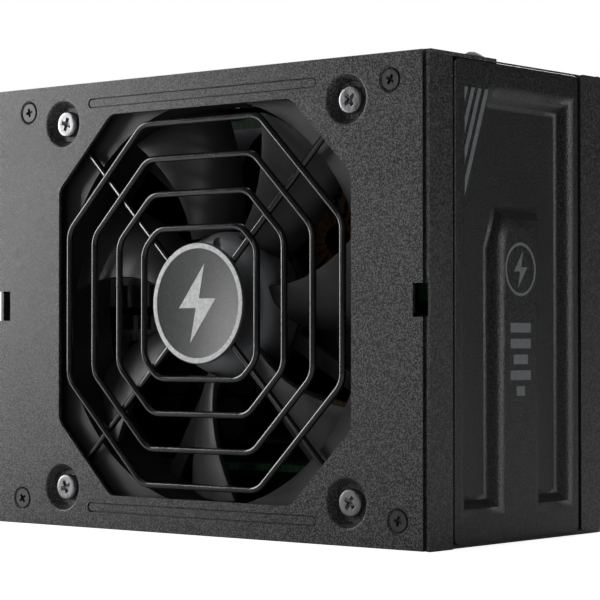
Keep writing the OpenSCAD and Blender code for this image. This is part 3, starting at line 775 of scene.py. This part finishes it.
def make_fan_cover():
    """The front plate: opening, notches, pressed lines, cups, screw seats and the two tabs."""
    low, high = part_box("fan_cover")
    right = SIDE - 1.8 * MM
    before, behind = FRONT - REACH, FRONT + REACH
    plate = block("fan_cover_plate", (low[0], FRONT, low[2]), (right, FRONT + SHEET, high[2]))
    cut(plate, octagon_prism("cutter", OPENING_HALF, OPENING_FLAT, OPENING_BEND, before, behind))
    for x0, x1 in ((low[0] - REACH, low[0] + LEFT_NOTCH), (right - RIGHT_NOTCH, right + REACH)):
        cut(plate, block("cutter", (x0, before, MIDDLE - NOTCH_HALF), (x1, behind, MIDDLE + NOTCH_HALF)))
    for x, z in cover_screw_places():
        cut(plate, bar("cutter", 2.75 * MM + REACH, (x, before, z), REACH + 0.75 * MM, "y", 32, 2.0 * MM))
        drill(plate, 1.5 * MM, (x, before, z), "y")
    for sign in (-1, 1):
        merge(plate, cover_tab(sign, low[0], right))
        drill(plate, 1.75 * MM, (sign * CASE_SCREW[0], CASE_SCREW[1], TOP - REACH), "z")
        drill(plate, 1.5 * MM, (sign * (SIDE - TAB_SCREW_IN), TAB_SCREW_Y, TOP - REACH), "z")
    bevel(plate, 0.2 * MM, 2)
    side_gap = 0.3 * MM
    for z in (LINE_IN, TOP - LINE_IN):
        cut(plate, slot_bar("cutter", LINE_HALF, z, LINE_WIDTH, before, FRONT + 0.55 * MM))
        top, floor = FRONT + 0.15 * MM, FRONT + SHEET / 2 + 0.3 * MM
        merge(plate, slot_bar("raised", LINE_HALF - side_gap, z, LINE_WIDTH - side_gap, top, floor))
    for x, z in fan_screw_places():
        drill(plate, CUP_HOLE, (x, before, z), "y", 40)
    cups = [pressed_cup(f"cup_{i}", x, z) for i, (x, z) in enumerate(fan_screw_places())]
    cover = smooth_sheet(gather("fan_cover_pressed", [plate] + cups))
    place(cover, "case", "case_paint", COVER_PAINT, "fan_cover")


def cover_screw_places():
    """Centres of the four flush screws, x and z."""
    return [(-52.5 * MM, 94.5 * MM), (52.5 * MM, 94.5 * MM), (-54.4 * MM, 5.7 * MM), (54.4 * MM, 5.7 * MM)]


def fan_screw_places():
    """Centres of the four fan screws, x and z."""
    half = FAN_PITCH / 2
    return [(-half, MIDDLE + half), (half, MIDDLE + half), (-half, MIDDLE - half), (half, MIDDLE - half)]


# ---------------------------------------------------------------- screws
def cross_cutter(size, depth, turn):
    """A tapered cross that cuts a driver recess downwards from z = 0."""
    arms = []
    for angle in (turn, turn + 90):
        arm = block("arm", (-size / 2, -size / 7.5, -depth), (size / 2, size / 7.5, depth))
        edit(arm)
        pick(arm, "faces", lambda f: f.normal.z < -0.9)
        bpy.ops.transform.resize(value=(0.45, 0.7, 1))
        bpy.ops.object.mode_set(mode="OBJECT")
        arm.rotation_euler = (0, 0, math.radians(angle))
        arms.append(settle(arm))
    return merge(arms[0], arms[1])


def screw(name, head_r, head_h, shank_r, shank_l, crown, cross, angle):
    """A screw along -Z, its head's top at z = 0 or crowned by crown."""
    rim = 0.25 * MM
    steps = 5
    turn = [i / steps for i in range(steps + 1)]
    dome = [((head_r - rim) * t, crown * math.cos(math.pi / 2 * t)) for t in turn]
    end = -head_h - shank_l
    profile = dome + [(head_r, -rim), (head_r, -head_h), (shank_r, -head_h)]
    profile += [(shank_r, end + 0.5 * MM), (shank_r * 0.6, end), (0, end)]
    obj = lathe(name, profile, steps=36)
    cutter = cross_cutter(cross, 0.9 * MM, angle)
    cutter.location = (0, 0, crown)
    settle(cutter)
    cut(obj, cutter)
    bevel(obj, 0.05 * MM, 1, 40)
    return smooth(obj)


def flush_screw(name, angle):
    """A countersunk screw along -Z, its head's top at z = 0."""
    head, shank, end = 2.2 * MM, 1.2 * MM, -4.2 * MM
    profile = [(0, 0), (head - 0.15 * MM, 0), (head, -0.12 * MM), (1.75 * MM, -0.72 * MM)]
    profile += [(shank, -0.75 * MM), (shank, end), (0, end)]
    return smooth(cut(lathe(name, profile, steps=32), cross_cutter(2.9 * MM, 0.65 * MM, angle)))


def make_screws():
    """Fan, cover and tab screws, each kind one piece."""
    head_h = 1.3 * MM
    screws = []
    for i, ((x, z), angle) in enumerate(zip(fan_screw_places(), (72, 38, 20, 55))):
        one = screw(f"fan_screw_{i}", 2.9 * MM, head_h, 1.9 * MM, 8 * MM, 0.0, 4.2 * MM, angle)
        one.rotation_euler = TURN["-y"]
        one.location = (x, FRONT + CUP_DEPTH - head_h, z)
        screws.append(settle(one))
    place(gather("fan_screw_set", screws), "case", "bright_screws", BRIGHT_SCREW, "fan_screws")

    screws = []
    for i, ((x, z), angle) in enumerate(zip(cover_screw_places(), (12, 60, 35, 80))):
        one = flush_screw(f"cover_screw_{i}", angle)
        one.rotation_euler = TURN["-y"]
        one.location = (x, FRONT + 0.1 * MM, z)
        screws.append(settle(one))
    place(gather("cover_screw_set", screws), "case", "black_screws", DARK_SCREW, "cover_screws")

    screws = []
    head_h = 0.5 * MM
    for i, sign in enumerate((-1, 1)):
        one = screw(f"tab_screw_{i}", 2.6 * MM, head_h, 1.25 * MM, 3.5 * MM, 1.05 * MM, 2.8 * MM, 25)
        one.location = (sign * (SIDE - TAB_SCREW_IN), TAB_SCREW_Y, TOP + head_h)
        screws.append(settle(one))
    place(gather("tab_screw_set", screws), "case", "black_screws", DARK_SCREW, "tab_screws")


# ---------------------------------------------------------------- side panels
def slice_faces(obj, test, point, normal):
    """Cuts only the faces that pass a test, along a plane."""
    pick(obj, "faces", test)
    bpy.ops.mesh.bisect(plane_co=point, plane_no=normal)


def across(y0, z0, y1, z1):
    """A plane through two points of the side face, as a point and a normal."""
    along = Vector((0, y1 - y0, z1 - z0)) * MM
    return (0, y0 * MM, z0 * MM), along.cross(Vector((1, 0, 0))).normalized()


def past_slant(face, y, z, width, height):
    """True for a face on the +Y side of a line that climbs by width and height from (y, z)."""
    point = middle(face)
    return (point.y - y * MM) * height - (point.z - z * MM) * width > 0


def pressed_panel():
    """The outer sheet of the right side, with the channel pressed into it."""
    low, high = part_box("right_side_panel")
    deselect_all()
    bpy.ops.mesh.primitive_plane_add(
        size=1, location=(SIDE, (low[1] + high[1]) / 2, (low[2] + high[2]) / 2), rotation=(0, math.pi / 2, 0)
    )
    obj = named("right_panel_pressed")
    obj.scale = (high[2] - low[2], high[1] - low[1], 1)
    settle(obj)
    edit(obj)
    everywhere = lambda f: True
    for y in (CHANNEL_NEAR, CHANNEL_FAR):
        slice_faces(obj, everywhere, *across(y, 0, y, 1))
    for z in (CHANNEL_LOW, CHANNEL_HIGH):
        slice_faces(obj, everywhere, *across(0, z, 1, z))
    within = lambda value, start, end: start * MM < value < end * MM
    inside = lambda f: within(middle(f).y, CHANNEL_NEAR, CHANNEL_FAR) and within(
        middle(f).z, CHANNEL_LOW, CHANNEL_HIGH
    )
    foot = CHANNEL_HIGH - CORNER_Z
    slice_faces(obj, inside, *across(CHANNEL_NEAR, foot, CHANNEL_NEAR + CORNER_Y, CHANNEL_HIGH))
    beyond = lambda f: inside(f) and past_slant(f, CHANNEL_NEAR, foot, CORNER_Y, CORNER_Z)
    for y in (-ISLAND_HALF, ISLAND_HALF):
        slice_faces(obj, beyond, *across(y, 0, y, 1))
    between = lambda f: beyond(f) and abs(middle(f).y) < ISLAND_HALF * MM
    slice_faces(obj, between, *across(0, ISLAND_TOP, 1, ISLAND_TOP))
    island = lambda f: between(f) and middle(f).z < ISLAND_TOP * MM
    foot_in = ISLAND_TOP - ISLAND_CORNER_Z
    slice_faces(obj, island, *across(-ISLAND_HALF, foot_in, -ISLAND_HALF + ISLAND_CORNER_Y, ISLAND_TOP))
    corner = lambda f: island(f) and not past_slant(
        f, -ISLAND_HALF, foot_in, ISLAND_CORNER_Y, ISLAND_CORNER_Z
    )
    pick(obj, "faces", lambda f: beyond(f) and (not island(f) or corner(f)))
    bpy.ops.mesh.dissolve_faces()
    bpy.ops.mesh.inset(thickness=CHANNEL_SLOPE, depth=0, use_even_offset=True)
    bpy.ops.transform.translate(value=(-CHANNEL_DEPTH, 0, 0))
    floor_x = SIDE - CHANNEL_DEPTH
    pick(obj, "edges", lambda e: folded(e) and abs(middle(e).x - floor_x) < MM / 10)
    bpy.ops.mesh.bevel(offset=0.75 * MM, segments=4, affect="EDGES", clamp_overlap=True)
    pick(obj, "edges", lambda e: folded(e) and abs(middle(e).x - SIDE) < MM / 10)
    bpy.ops.mesh.bevel(offset=1.7 * MM, segments=8, affect="EDGES", clamp_overlap=True)
    at_edge = lambda value, axis: min(abs(value - low[axis]), abs(value - high[axis])) < MM / 10
    pick(obj, "verts", lambda v: at_edge(v.co.y, 1) and at_edge(v.co.z, 2))
    bpy.ops.mesh.bevel(offset=1.5 * MM, segments=5, affect="VERTICES")
    bpy.ops.mesh.select_all(action="SELECT")
    bpy.ops.mesh.normals_make_consistent(inside=False)
    mesh = bmesh.from_edit_mesh(obj.data)
    if sum(f.normal.x * f.calc_area() for f in mesh.faces) < 0:
        bpy.ops.mesh.flip_normals()
    bpy.ops.object.mode_set(mode="OBJECT")
    modify(obj, "SOLIDIFY", thickness=SHEET, offset=-1)
    bevel(obj, 0.38 * MM, 3, 60)
    return smooth_sheet(obj, 40)


def printed_shape(name, corners, x=None):
    """A thin printed patch on the side face: a convex outline of (y, z) points in mm."""
    x = SIDE - INK / 2 if x is None else x
    ys = [p[0] for p in corners]
    zs = [p[1] for p in corners]
    deselect_all()
    centre = (x, (min(ys) + max(ys)) / 2 * MM, (min(zs) + max(zs)) / 2 * MM)
    bpy.ops.mesh.primitive_plane_add(size=1, location=centre, rotation=(0, math.pi / 2, 0))
    obj = named(name)
    obj.scale = ((max(zs) - min(zs)) * MM, (max(ys) - min(ys)) * MM, 1)
    settle(obj)
    edit(obj)
    for (y0, z0), (y1, z1) in zip(corners, corners[1:] + corners[:1]):
        point, normal = across(y0, z0, y1, z1)
        bpy.ops.mesh.select_all(action="SELECT")
        bpy.ops.mesh.bisect(plane_co=point, plane_no=normal, clear_outer=True)
    bpy.ops.object.mode_set(mode="OBJECT")
    return modify(obj, "SOLIDIFY", thickness=INK, offset=0)


def side_stripes():
    """Four slanted stripes beside the channel's upper corner."""
    slope = CORNER_Y / CORNER_Z
    top, left = 93.4, -19.9
    stripes = []
    for i, (start, end) in enumerate(((-12.8, -11.5), (-15.2, -13.95), (-17.5, -16.3), (-19.9, -18.7))):
        foot_start = top - (start - left) / slope
        foot_end = top - (end - left) / slope
        outline = [(start, top), (left, foot_start), (left, foot_end), (end, top)]
        if foot_start > top - 0.01:
            outline = [(start, top), (left, foot_end), (end, top)]
        stripes.append(printed_shape(f"stripe_{i}", outline))
    return stripes


def flash_outline(y, z, size):
    """The two halves of a lightning flash that meet in the middle, as (y, z) points in mm."""
    half = [(0.24, 1.0), (-0.62, -0.12), (-0.05, -0.12), (0.05, 0.12)]
    return [[(y + sign * size * a, z + sign * size * b) for a, b in half] for sign in (1, -1)]


def make_side_panels():
    """Both pressed panels with their printed stripes, round mark and bars."""
    right = pressed_panel()
    right.location.x = -PANEL_SINK
    settle(right)
    left = smooth_sheet(twin(right, "left_panel_pressed", mirror_x=True), 40)
    # both panels take the darker copy of the coat, painted shade for the dim sides
    place(right, "case", "panel_paint", SHADED_PANEL_PAINT, "right_side_panel")
    place(left, "case", "panel_paint", SHADED_PANEL_PAINT, "left_side_panel")
    prints = side_stripes()
    mark_z = 56.8
    ring = washer(5.6 * MM, 5.0 * MM, INK)
    prints.append(lathe("mark_ring", ring, (SIDE - INK, 0, mark_z * MM), "x", 48))
    for i, outline in enumerate(flash_outline(0, mark_z, 3.9)):
        prints.append(printed_shape(f"mark_flash_{i}", outline))
    first_bar, bar_step = 44.6, 3.3
    for i, half in enumerate((3.7, 3.7, 2.6, 3.7, 1.5)):
        low, high = first_bar - i * bar_step - 1, first_bar - i * bar_step + 1
        outline = [(-half, high), (-half, low), (half, low), (half, high)]
        prints.append(printed_shape(f"mark_bar_{i}", outline))
    art = gather("right_side_print", prints)
    other = twin(art, "left_side_print", mirror_x=True)
    for piece in (art, other):
        place(piece, "case", "badge", GREY_INK)


# ---------------------------------------------------------------- grille and badge
def wire_ring(name, half, flat):
    """One closed ring of round wire: a quarter is extruded and spun, then copied round."""
    tangent = RING_BEND * math.tan(math.radians(22.5))
    diagonal = tangent * math.sqrt(0.5)
    y = FRONT + WIRE
    deselect_all()
    bpy.ops.mesh.primitive_circle_add(
        vertices=14, radius=WIRE, location=(0, y, MIDDLE + half), rotation=(0, math.pi / 2, 0)
    )
    obj = settle(named(name))
    edit(obj)
    bpy.ops.mesh.select_all(action="SELECT")
    bpy.ops.mesh.extrude_region_move(TRANSFORM_OT_translate={"value": (flat - tangent, 0, 0)})
    bend = {"steps": 6, "angle": math.radians(-45), "axis": (0, 1, 0)}
    bpy.ops.mesh.spin(center=(flat - tangent, y, MIDDLE + half - RING_BEND), **bend)
    slant = half - flat - 2 * diagonal
    bpy.ops.mesh.extrude_region_move(TRANSFORM_OT_translate={"value": (slant, 0, -slant)})
    bpy.ops.mesh.spin(center=(half - RING_BEND, y, MIDDLE + flat - tangent), **bend)
    bpy.ops.mesh.extrude_region_move(TRANSFORM_OT_translate={"value": (0, 0, -(flat - tangent))})
    bpy.ops.object.mode_set(mode="OBJECT")
    copies = [turned_about_fan(obj, f"{name}_{q}", 90 * q) for q in range(1, 4)]
    ring = gather(name, [obj] + copies)
    edit(ring)
    weld(2e-6)
    leave_edit()
    return ring


def turned_about_fan(obj, name, degrees):
    """A copy turned about the fan's axis."""
    activate(obj)
    bpy.ops.object.duplicate(linked=False)
    copy = named(name)
    angle = math.radians(degrees)
    copy.rotation_euler = (0, angle, 0)
    copy.location = (-MIDDLE * math.sin(angle), 0, MIDDLE - MIDDLE * math.cos(angle))
    return settle(copy)


def make_grille():
    """Four rings of wire welded on two crossed bars."""
    pieces = [wire_ring(f"ring_{i}", half, flat) for i, (half, flat) in enumerate(RINGS)]
    shoulder = SPOKE_HALF - 0.3 * MM
    half_profile = [(WIRE, shoulder), (WIRE * 0.7, SPOKE_HALF), (0, SPOKE_HALF)]
    profile = [(r, -h) for r, h in reversed(half_profile)] + half_profile
    for angle in (45, 135):
        spoke = lathe("spoke", profile, steps=14)
        spoke.rotation_euler = (0, math.radians(angle), 0)
        spoke.location = (0, FRONT + SHEET + WIRE, MIDDLE)
        pieces.append(settle(spoke))
    grille = smooth(gather("grille_wires", pieces), 50)
    place(grille, "case", "grille_wire", WIRE_ENAMEL, "fan_grille")


def make_badge():
    """A round plate with a white rim and a lightning flash."""
    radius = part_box("grille_badge")[1][0]
    field, raised = SHEET - 0.15 * MM, SHEET - 0.1 * MM
    profile = [(0, 0), (0, field), (radius - 1.3 * MM, field), (radius - 1.2 * MM, raised)]
    profile += [(radius - 0.2 * MM, raised), (radius, SHEET - 0.3 * MM), (radius, 0), (0, 0)]
    plate = smooth(lathe("badge_plate", profile, (0, FRONT + SHEET, MIDDLE), "-y", 64))
    place(plate, "case", "badge", BADGE_INK, "grille_badge")
    rim_thick = 0.12 * MM
    profile = [(radius - 1.35 * MM, 0), (radius - 1.3 * MM, rim_thick), (radius - 0.25 * MM, rim_thick)]
    profile += [(radius - 0.2 * MM, 0), (radius - 1.35 * MM, 0)]
    pieces = [lathe("badge_rim", profile, (0, FRONT + 0.14 * MM, MIDDLE), "-y", 64)]
    for i, outline in enumerate(flash_outline(0, 0, 8.6)):
        part = printed_shape(f"badge_flash_{i}", outline, 0)
        part.rotation_euler = (0, 0, -math.pi / 2)
        part.location = (0, FRONT + rim_thick, MIDDLE)
        pieces.append(settle(part))
    art = smooth(gather("badge_print", pieces))
    place(art, "case", "badge", WHITE_INK)


# ---------------------------------------------------------------- fan rotor
def blade(name, front, back):
    """One cambered blade: its root line is extruded outwards, widening and sweeping as it goes."""
    points = 9
    steps = 12
    chord = (back - front - 1.6 * MM) / math.sin(BLADE_PITCH)
    bulge = 1.5 * MM
    root_x = HUB_RADIUS - 0.5 * MM
    root = []
    for i in range(points):
        along = (0.5 - i / (points - 1)) * chord
        rise = bulge * (1 - (2 * along / chord) ** 2)
        y = -along * math.sin(BLADE_PITCH) - rise * math.cos(BLADE_PITCH)
        z = along * math.cos(BLADE_PITCH) - rise * math.sin(BLADE_PITCH)
        root.append((root_x, (front + back) / 2 + y, z))
    obj = point_path(name, root)
    bpy.ops.mesh.select_all(action="SELECT")
    widen = BLADE_WIDENING ** (1 / steps)
    sweep = lambda t: BLADE_SWEEP * (1.6 * t * t - 0.6 * t)
    reach = TIP_RADIUS + 2 * MM - root_x
    for i in range(steps):
        here = sweep(i / steps)
        step = sweep((i + 1) / steps) - here
        bpy.ops.mesh.extrude_region_move(TRANSFORM_OT_translate={"value": (reach / steps, 0, step)})
        bpy.ops.transform.resize(value=(1, 1, widen), center_override=(root_x, 0, here + step))
    bpy.ops.object.mode_set(mode="OBJECT")
    return modify(obj, "SOLIDIFY", thickness=1.1 * MM, offset=0)


def make_rotor():
    """Hub with a rounded shoulder, a small pocket in its face and broad swept blades."""
    low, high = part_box("fan_rotor")
    blade_front, blade_back = low[1], high[1]
    hub_front = FRONT + 6.5 * MM
    depth = blade_back - hub_front
    shoulder = 3.2 * MM
    profile = [(0, 0.35 * MM), (9.5 * MM, 0.35 * MM), (10.0 * MM, 0.05 * MM)]
    profile += [(r, shoulder - h) for r, h in arc(HUB_RADIUS - shoulder, 0, shoulder, 90, 0, 7)]
    inner, wall = HUB_RADIUS - 1.2 * MM, 1.6 * MM
    profile += [(HUB_RADIUS, depth), (inner, depth), (inner, wall), (0, wall)]
    hub = lathe("rotor_hub", profile, (0, hub_front, MIDDLE), "y", 64)
    pocket = slot_bar("cutter", 1.9 * MM, 0, 1.2 * MM, hub_front - MM, hub_front + 0.9 * MM)
    pocket.rotation_euler = (0, math.pi / 2, 0)
    pocket.location = (0, 0, MIDDLE + 12.6 * MM)
    settle(pocket)
    cut(hub, pocket)
    bevel(hub, 0.12 * MM, 2, 40)
    smooth(hub, 40)
    first = blade("blade_0", blade_front, blade_back)
    play = 0.05 * MM
    length = blade_back - blade_front - 2 * play
    trim = bar("trim", TIP_RADIUS, (0, blade_front + play, 0), length, "y", 96)
    modify(first, "BOOLEAN", operation="INTERSECT", solver="EXACT", object=trim)
    bpy.data.objects.remove(trim)
    bevel(first, 0.25 * MM, 2, 50)
    first.location = (0, 0, MIDDLE)
    settle(first)
    blades = [first]
    for i in range(1, BLADE_COUNT):
        blades.append(turned_about_fan(first, f"blade_{i}", 360 / BLADE_COUNT * i))
    fan = smooth(gather("rotor_blades", blades), 40)
    # the hub takes the lighter grey copy, painted sheen on its rounded face
    place(hub, "rotor", "fan_plastic", HUB_SHEEN_PLASTIC, "fan_rotor")
    place(fan, "rotor", "fan_plastic", FAN_PLASTIC, "fan_rotor")


# ---------------------------------------------------------------- shell, fan frame and mains end
def make_shell():
    """The folded base, the fan frame and the two housings, with rounded edges."""
    fill_half = 3.5 * MM
    fillings = []
    for sign, y in ((1, FRONT + 0.45 * MM), (-1, FRONT + SHEET)):
        left, right = sorted((sign * SIDE, sign * (SIDE - SHEET)))
        low, high = (left, y, MIDDLE - fill_half), (right, FRONT + 3 * MM, MIDDLE + fill_half)
        fillings.append(block("filling", low, high))
    shell = worked_copy("base_shell", "base_folded", 0.25 * MM, 2, fillings)
    place(shell, "case", "case_paint", SHELL_PAINT, "base_shell")
    fan_frame = worked_copy("fan_frame", "fan_frame_moulded", 0.3 * MM, 2)
    place(fan_frame, "case", "fan_plastic", FAN_PLASTIC, "fan_frame")
    for node in ("inlet_housing", "switch_housing"):
        housing = worked_copy(node, f"{node}_moulded", 0.2 * MM, 2)
        place(housing, "case", "black_plastic", BLACK_PLASTIC, node)


def make_rocker():
    """The rocker with rounded edges and its on and off marks."""
    rocker = worked_copy("power_rocker", "rocker_moulded", 0.35 * MM, 3)
    place(rocker, "rocker", "rocker_plastic", ROCKER_PLASTIC, "power_rocker")
    thick = 0.06 * MM
    reach = 4.6 * MM
    height = 3.4 * MM + reach * math.tan(ROCKER_WING) - thick / 3
    on_mark = block("on_mark", (-1.5 * MM, -0.3 * MM, 0), (1.5 * MM, 0.3 * MM, thick))
    off_mark = lathe("off_mark", washer(1.6 * MM, 1.1 * MM, thick), steps=32)
    for sign, mark in ((1, on_mark), (-1, off_mark)):
        mark.rotation_euler = (0, -sign * ROCKER_WING, 0)
        mark.location = (sign * reach, 0, height)
        settle(mark)
        mark.rotation_euler = (0, ROCKER_LEAN, 0)
        mark.location = ROCKER_PIVOT
        settle(mark)
    place(gather("rocker_marks", [on_mark, off_mark]), "rocker", "rocker_plastic", WHITE_INK)


# ---------------------------------------------------------------- camera, light and floor
def make_stage():
    """A pale floor and a pale surround, which shine less on the case than they look."""
    deselect_all()
    bpy.ops.mesh.primitive_plane_add(size=6, location=(0, 0, 0))
    floor = named("floor")
    paint = Finish("floor_paint", (0.8, 0.8, 0.8), 0.7, specular=0.1)
    patches = paint.group(SMUDGE, "Mask", Patch_Scale=3.0)
    paint.link(paint.blend(patches, (0.78, 0.78, 0.78), (0.82, 0.82, 0.82)), "Base Color")
    paint.set("Emission Color", (1, 1, 1, 1))
    seen = paint.tree.nodes.new("ShaderNodeLightPath").outputs["Is Camera Ray"]
    paint.link(spread(paint.tree, seen, 0, 1, 0.0, 0.86), "Emission Strength")
    floor.data.materials.append(paint.material)
    floor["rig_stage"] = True

    world = bpy.data.worlds.new("studio")
    bpy.context.scene.world = world
    world.use_nodes = True
    tree = world.node_tree
    back = tree.nodes["Background"]
    seen = tree.nodes.new("ShaderNodeLightPath").outputs["Is Camera Ray"]
    tree.links.new(spread(tree, seen, 0, 1, 0.055, 1.0), back.inputs["Strength"])
    back.inputs["Color"].default_value = (1, 1, 1, 1)
    bpy.context.scene.view_settings.view_transform = "Standard"


def soft_light(name, place_at, aim, size, power):
    """A rectangular area light that faces a point."""
    deselect_all()
    bpy.ops.object.light_add(type="AREA", location=place_at)
    lamp = bpy.context.active_object
    lamp.name = name
    lamp.data.shape = "RECTANGLE"
    lamp.data.size, lamp.data.size_y = size
    lamp.data.energy = power
    lamp.rotation_euler = (Vector(aim) - Vector(place_at)).to_track_quat("-Z", "Y").to_euler()


def make_lights():
    """The key light at the left front, weak ones ahead, above and at the right, and one behind."""
    aim = (0, 0, MIDDLE)
    soft_light("key", (-0.36, -0.21, 0.15), aim, (0.14, 0.26), 1.0)
    soft_light("front", (0.1, -0.9, 0.35), aim, (0.15, 0.5), 0.6)
    soft_light("top", (-0.1, 0.25, 0.8), aim, (0.7, 0.7), 1.6)
    soft_light("rim", (0.8, 0.27, 0.15), aim, (0.1, 0.5), 1.4)
    soft_light("back", (-0.3, 0.9, 0.5), aim, (0.6, 0.6), 6)


def make_camera():
    """The camera, low and to the right of the fan side."""
    deselect_all()
    bpy.ops.object.camera_add(location=(333.9 * MM, -397.1 * MM, 41.2 * MM))
    camera = bpy.context.active_object
    camera.name = "main_camera"
    camera.rotation_euler = (math.radians(90 + 1.10), 0, math.radians(39.85))
    camera.data.sensor_width = 36
    camera.data.lens = 137.6
    camera.data.clip_start = 0.01
    bpy.context.scene.camera = camera


make_camera()
make_stage()
make_lights()
dress_packed_nodes()
make_fan_cover()
make_screws()
make_side_panels()
make_grille()
make_badge()
make_rotor()
make_shell()
make_rocker()

deselect_all()
new_box = [list(corner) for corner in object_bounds()]
